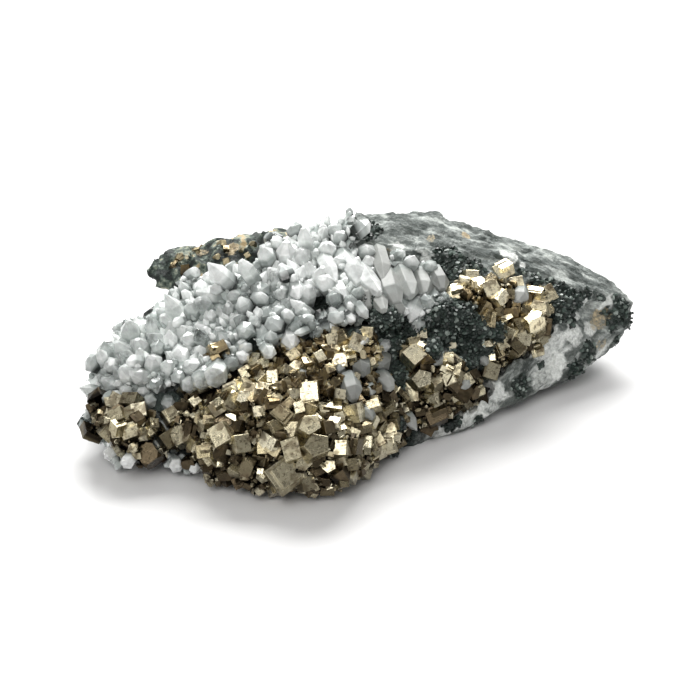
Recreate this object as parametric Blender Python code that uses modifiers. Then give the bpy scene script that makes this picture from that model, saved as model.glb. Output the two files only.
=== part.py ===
"""Pyrite in quartz cluster: a loose mineral specimen about 70 mm long.

A broken chunk of dark chlorite rock carries a crust of quartz points on its upper left, a
row of long quartz blades on its top, and four masses of pyrite cubes. The display side
faces -Y, +Z is up and the specimen lies on a flat broken face. Units are metres.
"""

import math
import random

import bmesh
import bpy
from mathutils import Matrix, Vector, noise
from mathutils.bvhtree import BVHTree
from mathutils.geometry import intersect_point_line

MM = 0.001

# What the sizes and places are worked out from
SEAM = 0.0003
ROCK_VOXEL = 0.0009
ROCK_TRIANGLES = 1200
ROCK_FOLD = 0.0055
ROCK_PIT = 0.3 * ROCK_FOLD
ROCK_ROUGHNESS = 0.0007
HALF_DIAGONAL = math.sqrt(3) / 2
TRIES_PER_SPOT = 14
CLEAR_OF_ROCK = 0.4
SMALLEST_EDGE = 0.000002
SEED = 11

# Corners of the rough blocks that the chunk of rock is broken into, in millimetres.
# x runs to the right along the display side, y away from it and z up.
ROCK_BLOCKS = {
    "core": [
        (-20, -11, -1), (-11, -14, -1), (1, -13, -1), (9, -6.5, -1), (15, -2, -1), (21, 6, -1),
        (15, 16, -1), (1, 18, -1), (-13, 14, -1), (-19, 4, -1), (-10, -3, 14.5), (-13, 4, 16),
        (-8, 8, 18.6), (-3, 13, 20.2), (5, 16, 19.9), (11, 17.2, 19.2), (15.8, 15.5, 17.5),
        (13, 7.5, 16.6), (6, -0.5, 14.2), (-2, -4, 14.6), (7, -6, 7.0),
    ],
    "right_slab": [
        (8, 16.5, 19.4), (15.5, 15.7, 17.8), (21.5, 15.2, 15.0), (27, 16, 13.6), (32.5, 15.5, 11.4),
        (36.4, 13.6, 7.8), (15.5, 6.0, 15.6), (25.5, 10.0, 12.0), (33.5, 12.0, 9.4),
        (9, -6, 0.8), (13.6, -5.6, 0.8), (15.5, -2.2, 0.8), (22, 3.0, 1.6), (28, 5.8, 2.2),
        (33.4, 8.8, 3.8), (35.6, 11.8, 6.0), (31, 18, 5.0), (18, 19.5, 1.0), (8, 18.5, 0.5), (8, -4, 9.5),
        (17, 0.5, 8.5), (25, 5.2, 7.8), (31, 9.3, 7.4),
    ],
    "left_lobe": [
        (-31.4, -8.6, 3.2), (-28, -13.6, 2.2), (-18, -16, 1.2), (-11, -14, 0.2), (-30, -2, 8.0),
        (-28, 4, 9.0), (-21, 8, 11.5), (-25, -7, 9.4), (-17, -8, 10.4), (-12, 1, 15.5),
        (-10, 8, 17.0), (-29.5, 2, 4.0), (-24, 8, 5.0), (-13, 12, 3.0), (-22, 1, 0.8),
    ],
    "back_ledge": [
        (-26.6, 13.4, 12.8), (-24.4, 15.8, 14.3), (-17, 17.2, 15.3), (-8, 17.3, 16.2),
        (-3, 14.0, 18.4), (-24.4, 12.2, 11.2), (-19.0, 10.2, 11.4), (-11, 8.0, 13.5),
        (-22, 18, 12.5), (-10, 19.0, 9.0), (-3, 12.0, 9.0), (-20, 13.8, 10.4),
    ],
}

# Grooves in the rock: both ends of its line, how wide and how deep it is, in millimetres
ROCK_GROOVES = [
    ((17.5, 4.2, 14.6), (35.0, 11.6, 8.8), 1.1, 1.1),
    ((11.0, -0.4, 12.4), (16.0, 1.0, 11.0), 3.0, 1.2),
    ((22.0, 2.6, 4.4), (25.0, 4.2, 4.2), 1.6, 1.0),
    ((-21.0, 11.4, 10.2), (-12.0, 10.0, 12.4), 1.4, 0.8),
]

# Cubes of pyrite caught in the back ledge: centre, edge and turns
LEDGE_CUBES = [
    ((-21.6, 12.0, 12.0), 2.4, (30, 15, 20)), ((-19.6, 12.8, 14.0), 2.0, (12, 30, 40)),
    ((-16.4, 12.6, 14.6), 1.8, (40, 10, 5)), ((-12.4, 12.8, 15.8), 2.2, (22, 22, 60)),
    ((-10.2, 14.4, 16.4), 2.4, (35, 5, 15)), ((-22.6, 14.6, 13.8), 1.8, (5, 25, 30)),
    ((-17.0, 17.2, 13.6), 2.4, (50, 15, 10)), ((-12.0, 18.4, 11.0), 2.8, (18, 35, 25)),
]

# Blocks that the quartz crust and the pyrite masses grow from
QUARTZ_BLOCKS = {
    "left": [
        (-31.2, -8.5, 5.0), (-31, -2, 9.4), (-29.5, 4, 10.2), (-22.5, 8, 12.8), (-25.5, -8.0, 10.4),
        (-17.5, -9.2, 11.4), (-13, 2, 16.6), (-10, 8, 18.0), (-27, -4, 4.2), (-20, 0, 6.0),
        (-14, 2, 10), (-26, 3, 6.5), (-12, -5.5, 13.8),
    ],
    "upper": [
        (-14, -3, 14.6), (-7, -5, 15.2), (-1.5, -4.6, 15.6), (-13, 5, 17.2), (-9, 9.5, 19.8),
        (-3, 13.5, 21.0), (0.4, 13.4, 20.9), (0.2, 4, 18.6), (-10, 0, 11), (-4, 4, 13), (-5, 10, 15),
    ],
    "front_skirt": [
        (-24, -9.2, 9.8), (-17, -10.6, 10.9), (-11, -7.4, 12.9), (-5, -6.4, 14.4), (-2, -5.2, 14.8),
        (-16, -8.0, 12.0), (-8, -5, 15.0), (-18, -6, 6), (-8, -4, 9), (-22, -6, 7),
    ],
    "blades": [
        (-4, 7.0, 18.4), (2.0, 8.4, 18.6), (11.5, 7.5, 17.2), (-2.5, -4.4, 15.1), (3, -2.8, 15.3),
        (8, -1.4, 14.7), (12.0, -0.2, 13.9), (0, 2, 13), (9, 3, 13), (4, 8, 15),
    ],
    "left_foot": [
        (-32.2, -9.0, 3.6), (-30.4, -12.0, 2.4), (-24.5, -14.6, 1.2), (-18.5, -16.0, 0.7),
        (-30.6, -8, 7.4), (-21, -12, 5.6), (-31.6, -5, 6.4), (-24, -6, 2.2), (-27, -5, 8),
    ],
}
PYRITE_BLOCKS = {
    "pyrite_front": [
        (-12, -7, 12.6), (-6, -5.5, 13.8), (0, -4.2, 14.4), (3.5, -5.5, 12.2), (6.5, -7.5, 6.2),
        (-21.8, -12.0, 6.6), (-20.4, -13.8, 3.4), (-17.5, -11.2, 9.8), (-17.2, -17.6, 1.6),
        (-15, -17.2, 6.4), (-8.5, -19.2, 7.4), (-12.0, -19.8, 1.1), (-2.5, -20.2, 0.9),
        (-1, -17.6, 6.6), (3.6, -13.6, 1.2), (-7, -14.2, 11.8), (5.5, -9.0, 1.2), (-12, -9, 2.5),
        (-2, -6, 4.0),
    ],
    "pyrite_left": [
        (-31.0, -9.4, 6.8), (-30.2, -11.2, 4.2), (-26.8, -14.4, 6.2), (-25.6, -15.2, 3.0),
        (-22.6, -13.4, 6.8), (-23.4, -14.8, 2.6), (-25.5, -10.6, 8.6), (-26, -9, 4.5),
    ],
    "pyrite_middle": [
        (6.2, -7.8, 4.0), (7.5, -5.8, 9.6), (8.0, -4.4, 12.0), (11.5, -4.8, 9.2), (16.0, -2.2, 6.6),
        (11.5, -6.2, 3.4), (17.0, -1.8, 3.4), (8.5, -7.5, 2.2), (12, 0, 6.0),
    ],
    "pyrite_right": [
        (13.4, 4.4, 15.8), (18.5, 5.8, 15.0), (25.0, 8.4, 12.4), (12.8, 1.0, 12.8), (17.0, 0.8, 11.6),
        (23.6, 4.4, 9.8), (18.5, 0.2, 8.0), (24.4, 5.6, 7.6), (17.2, 0.2, 5.4), (20, 6, 9.0),
    ],
}

# Points of quartz that stand out in the crust: foot, tip and width in millimetres
LARGE_QUARTZ = [
    ((-13.4, 2.4, 14.6), (-17.6, 1.4, 18.7), 4.2),
    ((-21.2, 4.6, 11.4), (-22.6, 4.6, 15.0), 3.6),
    ((-26.2, 0.0, 9.0), (-27.6, -1.0, 13.0), 3.4),
    ((-29.6, -4.0, 6.6), (-33.4, -5.4, 8.2), 2.4),
    ((-10.5, 1.5, 15.0), (-12.0, 0.4, 19.4), 3.0),
    ((-6.8, 2.0, 15.8), (-7.6, -0.4, 19.8), 3.4),
    ((-20.5, -4.8, 9.0), (-20.0, -8.6, 13.0), 3.2),
    ((-9.6, -5.0, 12.4), (-10.6, -9.0, 14.8), 3.4),
    ((-16.0, -7.0, 10.0), (-17.0, -11.6, 12.0), 3.4),
    ((-25.0, -5.0, 8.6), (-25.6, -8.2, 12.4), 3.0),
    ((-4.6, -2.6, 14.6), (-6.0, -7.4, 15.6), 3.0),
    ((-3.6, 11.4, 18.4), (-4.4, 11.6, 22.2), 3.0),
    ((-29.5, -9.5, 3.6), (-32.6, -11.6, 2.8), 2.4),
    ((-26.5, -12.0, 2.4), (-28.2, -15.4, 1.7), 2.8),
]

# Long quartz blades that lie side by side down the front of the top: foot, tip, width
QUARTZ_BLADES = [
    ((-2.6, 6.6, 17.6), (1.2, -3.0, 16.4), 2.9),
    ((0.8, 6.2, 17.4), (3.8, -3.2, 15.4), 2.4),
    ((3.6, 5.8, 17.0), (6.2, -2.4, 15.2), 3.2),
    ((6.6, 6.6, 17.0), (8.8, -1.2, 15.0), 2.8),
    ((9.6, 7.0, 16.6), (11.2, -0.2, 14.4), 2.6),
    ((-1.8, 3.4, 16.0), (-0.6, -5.6, 15.8), 2.4),
]

# Pyrite cubes that show as whole faces: centre, edge, and the turns about X, Y and Z in degrees
LARGE_CUBES = {
    "pyrite_front": [
        ((-4.2, -18.6, 7.4), 4.2, (48, 12, 28)),
        ((-6.6, -18.9, 5.0), 3.6, (35, -8, 52)),
        ((-8.6, -19.2, 3.3), 3.4, (52, 20, 12)),
        ((-14.2, -16.9, 6.0), 3.6, (30, 10, 38)),
        ((-4.8, -19.6, 2.8), 2.8, (20, 35, 10)),
        ((-8.6, -14.6, 10.6), 2.6, (35, 25, 12)),
        ((-17.4, -14.2, 4.4), 2.6, (25, 30, 35)),
    ],
    "pyrite_left": [
        ((-25.2, -13.7, 2.8), 3.0, (35, 40, 18)),
        ((-27.0, -12.6, 5.6), 2.6, (22, 18, 55)),
    ],
    "pyrite_middle": [
        ((8.6, -5.2, 7.4), 3.0, (40, 10, 35)),
        ((7.8, -4.4, 10.8), 2.6, (25, -15, 50)),
        ((14.8, -2.6, 5.8), 2.4, (12, 24, 30)),
    ],
    "pyrite_right": [
        ((14.2, 3.6, 14.9), 2.8, (22, 12, 20)),
        ((18.0, 4.6, 14.2), 3.4, (38, 28, 15)),
        ((22.0, 5.0, 10.8), 3.6, (30, -10, 42)),
        ((20.4, 3.2, 8.4), 3.0, (15, 8, 25)),
    ],
}

# What covers each block: the gap between neighbours, then the smallest and largest width
CUBE_COVER = {
    "pyrite_front": (2.7, 2.1, 3.7),
    "pyrite_left": (2.3, 1.8, 3.0),
    "pyrite_middle": (2.4, 1.8, 3.0),
    "pyrite_right": (2.4, 1.8, 3.0),
}
QUARTZ_COVER = {
    "left": (3.5, 2.5, 3.8),
    "upper": (3.2, 2.4, 3.6),
    "front_skirt": (3.3, 2.4, 3.4),
    "blades": (5.0, 2.0, 2.7),
    "left_foot": (3.8, 2.2, 3.2),
}

# A cube's centre lies this share of its edge below the block, and small cubes outnumber large ones
CUBE_SINK = 0.22
SMALL_CUBE_BIAS = 1.6

# A quartz point starts below the surface of its block, rises above it and leans with the others
QUARTZ_ROOT = 1.4
QUARTZ_RISE = (1.1, 2.1)
GROWTH_LEAN = Vector((-0.28, -0.28, 0.6))
OUTWARD_LEAN = 1.1
CHANCE_LEAN = 0.35
LOWEST_QUARTZ = 0.6

# Shape of a quartz point, in shares of half its width: the foot, the cap and how far off centre it ends
POINT_FOOT = 0.86
POINT_CAP = 1.15
POINT_OFF_CENTRE = 0.22
SHORTEST_SHAFT = 0.25
HEXAGON_GROWTH = 1.2

MATERIALS = {
    "chlorite_rock": ((0.10, 0.125, 0.115), 0.7, 0.0),
    "quartz": ((0.80, 0.83, 0.83), 0.25, 0.0),
    "pyrite": ((0.62, 0.55, 0.38), 0.28, 1.0),
}


def clear_scene():
    for old in list(bpy.data.objects):
        bpy.data.objects.remove(old)


def new_collection(name, hidden=False):
    made = bpy.data.collections.new(name)
    bpy.context.scene.collection.children.link(made)
    made.hide_render = hidden
    return made


def make_material(name):
    colour, roughness, metallic = MATERIALS[name]
    made = bpy.data.materials.new(name)
    made.use_nodes = True
    shader = made.node_tree.nodes["Principled BSDF"]
    shader.inputs["Base Color"].default_value = (*colour, 1.0)
    shader.inputs["Roughness"].default_value = roughness
    shader.inputs["Metallic"].default_value = metallic
    made.diffuse_color = (*colour, 1.0)
    return made


def object_of(bm, name, collection):
    mesh = bpy.data.meshes.new(name)
    bmesh.ops.recalc_face_normals(bm, faces=bm.faces)
    bm.to_mesh(mesh)
    bm.free()
    made = bpy.data.objects.new(name, mesh)
    collection.objects.link(made)
    if collection.hide_render:
        made.hide_render = True
        made.display_type = "WIRE"
    return made


def in_metres(point):
    return Vector(point) * MM


def block(corners, name, collection, grow=0.0):
    """A rough block: the convex hull of its corners. With grow, every face moves out by at least that."""
    points = [in_metres(corner) for corner in corners]
    bm = bmesh.new()
    for point in points:
        bm.verts.new(point)
    bmesh.ops.convex_hull(bm, input=bm.verts)
    loose = [vert for vert in bm.verts if not vert.link_faces]
    bmesh.ops.delete(bm, geom=loose, context="VERTS")
    if grow:
        bm.normal_update()
        centre = sum((vert.co for vert in bm.verts), Vector()) / len(bm.verts)
        nearest = min(abs((face.calc_center_median() - centre).dot(face.normal)) for face in bm.faces)
        bmesh.ops.scale(bm, vec=Vector((1, 1, 1)) * (1 + grow / nearest),
                        space=Matrix.Translation(-centre), verts=bm.verts)
    return object_of(bm, name, collection)


def quartz_point(foot, tip, width, spin, name, collection, grow=0.0):
    """A six-sided prism whose end is poked and drawn out to an off-centre point."""
    axis = tip - foot
    length = axis.length + 2 * grow
    radius = width / 2 + grow * HEXAGON_GROWTH
    shaft = max(length - POINT_CAP * radius, SHORTEST_SHAFT * length)
    bm = bmesh.new()
    bmesh.ops.create_cone(bm, cap_ends=True, segments=6, radius1=radius * POINT_FOOT, radius2=radius,
                          depth=shaft)
    bmesh.ops.translate(bm, vec=(0, 0, shaft / 2), verts=bm.verts)
    top = max(bm.faces, key=lambda face: face.calc_center_median().z)
    peak = bmesh.ops.poke(bm, faces=[top])["verts"][0]
    off_centre = POINT_OFF_CENTRE * radius
    peak.co += Vector((off_centre * math.cos(5 * spin), off_centre * math.sin(5 * spin), length - shaft))
    turn = axis.to_track_quat("Z", "Y").to_matrix().to_4x4()
    start = foot - axis.normalized() * grow
    place = Matrix.Translation(start) @ turn @ Matrix.Rotation(spin, 4, "Z")
    bmesh.ops.transform(bm, matrix=place, verts=bm.verts)
    return object_of(bm, name, collection)


def pyrite_cube(centre, edge, turns, name, collection, grow=0.0):
    bm = bmesh.new()
    bmesh.ops.create_cube(bm, size=edge + 2 * grow)
    turn = Matrix.Identity(4)
    for angle, axis in zip(turns, "XYZ"):
        turn = Matrix.Rotation(angle, 4, axis) @ turn
    bmesh.ops.transform(bm, matrix=Matrix.Translation(centre) @ turn, verts=bm.verts)
    return object_of(bm, name, collection)


def settle(made):
    """Turns an object's modifiers into its mesh."""
    graph = bpy.context.evaluated_depsgraph_get()
    mesh = bpy.data.meshes.new_from_object(made.evaluated_get(graph))
    made.modifiers.clear()
    made.data = mesh
    return made


def add_boolean(made, operation, others):
    cut = made.modifiers.new(operation.title(), "BOOLEAN")
    cut.operation = operation
    cut.solver = "EXACT"
    cut.operand_type = "COLLECTION"
    cut.collection = others
    return settle(made)


def keep_largest_body(made):
    """Removes the chips that a cut leaves loose."""
    bm = bmesh.new()
    bm.from_mesh(made.data)
    bodies = []
    seen = set()
    for start in bm.faces:
        if start.index in seen:
            continue
        body, front = [], [start]
        seen.add(start.index)
        while front:
            face = front.pop()
            body.append(face)
            for edge in face.edges:
                for other in edge.link_faces:
                    if other.index not in seen:
                        seen.add(other.index)
                        front.append(other)
        bodies.append(body)
    bodies.sort(key=len, reverse=True)
    spare = [face for body in bodies[1:] for face in body]
    bmesh.ops.delete(bm, geom=spare, context="FACES")
    bmesh.ops.dissolve_degenerate(bm, dist=SMALLEST_EDGE, edges=bm.edges)
    bm.to_mesh(made.data)
    bm.free()


def surface_of(made):
    bm = bmesh.new()
    bm.from_mesh(made.data)
    found = BVHTree.FromBMesh(bm)
    bm.free()
    return found


def is_inside(surface, point):
    nearest, normal, _, _ = surface.find_nearest(point)
    return (point - nearest).dot(normal) < 0


def spots_on(made, gap, rock, chance):
    """Points spread over a block's surface where it stands clear of the rock, with their normals."""
    faces = [face for face in made.data.polygons if face.area > 0]
    areas = [face.area for face in faces]
    tries = int(TRIES_PER_SPOT * sum(areas) / (gap * MM) ** 2)
    taken = []
    for face in chance.choices(faces, weights=areas, k=tries):
        a, b, c = (made.data.vertices[index].co for index in face.vertices[:3])
        across, along = chance.random(), chance.random()
        if across + along > 1:
            across, along = 1 - across, 1 - along
        point = a + (b - a) * across + (c - a) * along
        normal = face.normal.copy()
        if is_inside(rock, point + normal * CLEAR_OF_ROCK * MM):
            continue
        if all((point - other).length > gap * MM for other, _ in taken):
            taken.append((point, normal))
    return taken


def groove_depth(point):
    """How far the deepest groove near a point pushes it inwards."""
    deepest = 0.0
    for start, end, width, depth in ROCK_GROOVES:
        nearest, share = intersect_point_line(point, in_metres(start), in_metres(end))
        nearest = in_metres(start).lerp(in_metres(end), min(1.0, max(0.0, share)))
        away = (point - nearest).length / (width * MM)
        deepest = max(deepest, depth * MM * max(0.0, 1.0 - away * away))
    return deepest


def rough_rock(collection, guides):
    """The chunk of rock: its blocks joined, folded and pitted by noise, and broken flat underneath."""
    bm = bmesh.new()
    for name, corners in ROCK_BLOCKS.items():
        piece = block(corners, f"guide_{name}", guides)
        bm.from_mesh(piece.data)
    rock = object_of(bm, "host_rock", collection)
    remesh = rock.modifiers.new("Join", "REMESH")
    remesh.mode = "VOXEL"
    remesh.voxel_size = ROCK_VOXEL
    settle(rock)
    normals = [vert.normal.copy() for vert in rock.data.vertices]
    for vert, normal in zip(rock.data.vertices, normals):
        fold = noise.turbulence(vert.co / ROCK_FOLD, 3, True)
        pits = noise.noise(vert.co / ROCK_PIT)
        vert.co += normal * (ROCK_ROUGHNESS * (1.1 - 1.3 * fold + 0.55 * pits) - groove_depth(vert.co))
    thin = rock.modifiers.new("Facets", "DECIMATE")
    thin.ratio = ROCK_TRIANGLES / (2 * len(rock.data.polygons))
    thin.use_collapse_triangulate = True
    return settle(rock)


def cut_flat_base(rock):
    side = 0.2
    bm = bmesh.new()
    bmesh.ops.create_cube(bm, size=side)
    bmesh.ops.translate(bm, vec=(0, 0, -side / 2), verts=bm.verts)
    below = new_collection("below_the_base", hidden=True)
    object_of(bm, "ground_cutter", below)
    add_boolean(rock, "DIFFERENCE", below)


def centre_on_base(specimen):
    """Moves the specimen so that the middle of its underside is the origin."""
    points = [vert.co for made in specimen.objects for vert in made.data.vertices]
    low = Vector([min(point[axis] for point in points) for axis in range(3)])
    high = Vector([max(point[axis] for point in points) for axis in range(3)])
    shift = Vector((-(low.x + high.x) / 2, -(low.y + high.y) / 2, -low.z))
    print("moved by", [round(side / MM, 3) for side in shift], "mm to stand on its origin")
    for made in specimen.objects:
        made.data.transform(Matrix.Translation(shift))


def quartz_pieces(collection, rock, grow):
    """Blocks and points of the quartz crust. The same call with grow makes the cutters of its seam."""
    chance = random.Random(SEED)
    tag = "seam" if grow else "grain"
    made = []
    for name, corners in QUARTZ_BLOCKS.items():
        base = block(corners, f"{tag}_quartz_{name}", collection, grow)
        made.append(base)
        plain = block(corners, f"{tag}_spots_{name}", collection) if grow else base
        gap, small, large = QUARTZ_COVER[name]
        for n, (point, normal) in enumerate(spots_on(plain, gap, rock, chance)):
            sway = Vector((chance.uniform(-1, 1), chance.uniform(-1, 1), chance.uniform(-1, 1)))
            lean = normal * OUTWARD_LEAN + GROWTH_LEAN + sway * CHANCE_LEAN
            width = chance.uniform(small, large) * MM
            length = QUARTZ_ROOT + chance.uniform(*QUARTZ_RISE)
            foot = point - normal * QUARTZ_ROOT * MM
            tip = foot + lean.normalized() * length * MM
            if min(foot.z, tip.z) < LOWEST_QUARTZ * width:
                continue
            made.append(quartz_point(foot, tip, width, chance.uniform(0, math.tau),
                                     f"{tag}_point_{name}_{n}", collection, grow))
        if plain is not base:
            bpy.data.objects.remove(plain)
    for n, (foot, tip, width) in enumerate(LARGE_QUARTZ + QUARTZ_BLADES):
        made.append(quartz_point(in_metres(foot), in_metres(tip), width * MM, 0.7 * n,
                                 f"{tag}_large_point_{n}", collection, grow))
    return made


def pyrite_pieces(name, collection, rock, grow):
    """Block and cubes of one pyrite mass. The same call with grow makes the cutters of its seam."""
    chance = random.Random(SEED + len(name) + len(PYRITE_BLOCKS[name]))
    tag = "seam" if grow else "grain"
    base = block(PYRITE_BLOCKS[name], f"{tag}_{name}", collection, grow)
    plain = block(PYRITE_BLOCKS[name], f"{tag}_spots_{name}", collection) if grow else base
    made = [base]
    gap, small, large = CUBE_COVER[name]
    for n, (point, normal) in enumerate(spots_on(plain, gap, rock, chance)):
        edge = small + (large - small) * chance.random() ** SMALL_CUBE_BIAS
        centre = point - normal * edge * CUBE_SINK * MM
        turns = [chance.uniform(0, math.tau) for _ in range(3)]
        centre.z = max(centre.z, HALF_DIAGONAL * edge * MM + SEAM)
        made.append(pyrite_cube(centre, edge * MM, turns, f"{tag}_{name}_cube_{n}", collection, grow))
    for n, (centre, edge, turns) in enumerate(LARGE_CUBES[name]):
        made.append(pyrite_cube(in_metres(centre), edge * MM, [math.radians(t) for t in turns],
                                f"{tag}_{name}_large_cube_{n}", collection, grow))
    if plain is not base:
        bpy.data.objects.remove(plain)
    return made


def fused(name, pieces, grains, specimen):
    """One solid from pieces that overlap: the first is the block that the others grow from."""
    base = pieces[0]
    others = new_collection(f"{name}_grains", hidden=True)
    for piece in pieces[1:]:
        grains.objects.unlink(piece)
        others.objects.link(piece)
    whole = bpy.data.objects.new(name, base.data)
    specimen.objects.link(whole)
    add_boolean(whole, "UNION", others)
    return whole


def main():
    clear_scene()
    specimen = new_collection("pyrite_in_quartz")
    guides = new_collection("guides", hidden=True)
    grains = new_collection("grains", hidden=True)

    rock = rough_rock(specimen, guides)
    rock_surface = surface_of(rock)

    pyrite_seams = new_collection("pyrite_seams", hidden=True)
    for name in PYRITE_BLOCKS:
        pieces = pyrite_pieces(name, grains, rock_surface, 0.0)
        mass = fused(name, pieces, grains, specimen)
        if len(pyrite_seams.objects) > 0:
            add_boolean(mass, "DIFFERENCE", pyrite_seams)
            keep_largest_body(mass)
        pyrite_pieces(name, pyrite_seams, rock_surface, SEAM)

    quartz_seams = new_collection("quartz_seams", hidden=True)
    quartz = fused("quartz_crust", quartz_pieces(grains, rock_surface, 0.0), grains, specimen)
    quartz_pieces(quartz_seams, rock_surface, SEAM)

    add_boolean(quartz, "DIFFERENCE", pyrite_seams)
    keep_largest_body(quartz)
    add_boolean(rock, "DIFFERENCE", pyrite_seams)
    add_boolean(rock, "DIFFERENCE", quartz_seams)
    ledge_cubes = new_collection("ledge_cubes", hidden=True)
    for n, (centre, edge, turns) in enumerate(LEDGE_CUBES):
        pyrite_cube(in_metres(centre), edge * MM, [math.radians(t) for t in turns],
                    f"ledge_cube_{n}", ledge_cubes)
    add_boolean(rock, "UNION", ledge_cubes)
    cut_flat_base(rock)
    keep_largest_body(rock)
    centre_on_base(specimen)

    finishes = {name: make_material(name) for name in MATERIALS}
    for made in specimen.objects:
        kinds = [name for name in MATERIALS if made.name.startswith(name)]
        kind = kinds[0] if kinds else "chlorite_rock"
        made.data.materials.clear()
        made.data.materials.append(finishes[kind])


main()
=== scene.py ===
# %% [markdown]
# # A pyrite and quartz specimen, dressed for a photograph
# The solids that come in with the frame say where each mineral is and how far it reaches. This
# lesson puts a finer skin on each of them: rock that is pitted and streaked, quartz that can be
# seen into, and metal cubes that catch the light. We load the solids first, because every later
# step measures itself against them.

# %% Load the solids
import math
from collections import namedtuple

import bpy
import numpy as np
from mathutils import Matrix, Vector, noise
from mathutils.bvhtree import BVHTree


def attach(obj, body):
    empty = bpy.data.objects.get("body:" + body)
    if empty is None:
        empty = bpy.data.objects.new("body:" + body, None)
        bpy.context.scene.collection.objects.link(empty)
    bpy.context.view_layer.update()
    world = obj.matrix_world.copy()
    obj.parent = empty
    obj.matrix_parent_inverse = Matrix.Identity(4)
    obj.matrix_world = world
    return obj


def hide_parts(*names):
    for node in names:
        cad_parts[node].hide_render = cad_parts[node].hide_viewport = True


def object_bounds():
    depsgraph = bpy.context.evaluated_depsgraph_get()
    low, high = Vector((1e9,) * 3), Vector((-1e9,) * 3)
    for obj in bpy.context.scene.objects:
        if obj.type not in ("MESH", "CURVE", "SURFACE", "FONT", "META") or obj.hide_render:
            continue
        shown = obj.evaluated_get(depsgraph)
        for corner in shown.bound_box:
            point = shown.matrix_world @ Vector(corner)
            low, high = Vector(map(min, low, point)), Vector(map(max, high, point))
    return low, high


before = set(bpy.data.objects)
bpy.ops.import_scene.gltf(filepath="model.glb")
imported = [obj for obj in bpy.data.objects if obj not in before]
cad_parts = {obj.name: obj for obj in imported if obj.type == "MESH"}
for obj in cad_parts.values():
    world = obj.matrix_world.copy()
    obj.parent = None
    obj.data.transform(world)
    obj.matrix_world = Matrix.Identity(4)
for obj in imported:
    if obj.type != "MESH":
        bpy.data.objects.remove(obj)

MM = 0.001
solid_low, solid_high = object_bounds()
solid_sides = [round(side / MM, 1) for side in solid_high - solid_low]
print("solids:", sorted(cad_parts), "box", solid_sides, "mm")

# %% [markdown]
# ## Camera
# The specimen lies on a table and is seen from a little above, with a long lens from about a
# foot away, so its sides hardly converge. Blender could track an empty, but a quaternion from
# the line of sight leaves nothing extra in the file. The same numbers give us a function that
# turns a pixel of the 700 by 700 frame into a ray, which is how features are put in their place.

# %% Camera and pixel rays
PICTURE = 700
AIM = Vector((-1.4, 1.0, 9.0)) * MM
DISTANCE = 300 * MM
HEIGHT_ANGLE = math.radians(30)
LENS = 125.0
SENSOR = 36.0

sight = Vector((0, math.cos(HEIGHT_ANGLE), -math.sin(HEIGHT_ANGLE)))
eye = AIM - sight * DISTANCE
sideways = Vector((1, 0, 0))
upwards = sideways.cross(sight)

camera_data = bpy.data.cameras.new("camera")
camera_data.lens = LENS
camera_data.sensor_width = SENSOR
camera_data.sensor_fit = "HORIZONTAL"
camera_data.clip_start = 0.01
camera = bpy.data.objects.new("camera", camera_data)
camera.location = eye
camera.rotation_euler = sight.to_track_quat("-Z", "Y").to_euler()
bpy.context.scene.collection.objects.link(camera)
bpy.context.scene.camera = camera


def ray_through(pixel):
    """The direction from the eye through a pixel of the picture."""
    across = (pixel[0] / PICTURE - 0.5) * SENSOR / LENS
    down = (pixel[1] / PICTURE - 0.5) * SENSOR / LENS
    return (sight + sideways * across - upwards * down).normalized()


def pixel_of(point):
    """The pixel of the picture at which a point shows."""
    away = point - eye
    scale = PICTURE * LENS / SENSOR / away.dot(sight)
    return PICTURE / 2 + away.dot(sideways) * scale, PICTURE / 2 - away.dot(upwards) * scale


PIXELS_PER_MM = PICTURE * LENS / SENSOR / DISTANCE * MM
print("scale at the middle:", round(PIXELS_PER_MM, 2), "pixels per mm")

# %% [markdown]
# ## Shader maths as plain sums
# Procedural materials are mostly arithmetic. Written as node calls it is hard to read, so a
# small class wraps an output socket and lets Python's own operators add the Math nodes. A board
# is one node tree, and its one method `add` makes every other kind of node.

# %% A wire and a board
class Wire:
    """An output socket that takes part in sums."""

    def __init__(self, board, socket):
        self.board, self.socket = board, socket

    def __add__(self, other):
        return self.board.maths("ADD", self, other)

    def __radd__(self, other):
        return self.board.maths("ADD", other, self)

    def __sub__(self, other):
        return self.board.maths("SUBTRACT", self, other)

    def __rsub__(self, other):
        return self.board.maths("SUBTRACT", other, self)

    def __mul__(self, other):
        return self.board.maths("MULTIPLY", self, other)

    def __rmul__(self, other):
        return self.board.maths("MULTIPLY", other, self)

    def clipped(self):
        """The same value, held between 0 and 1."""
        return self.board.add("ShaderNodeClamp", sockets={"Value": self})


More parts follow.
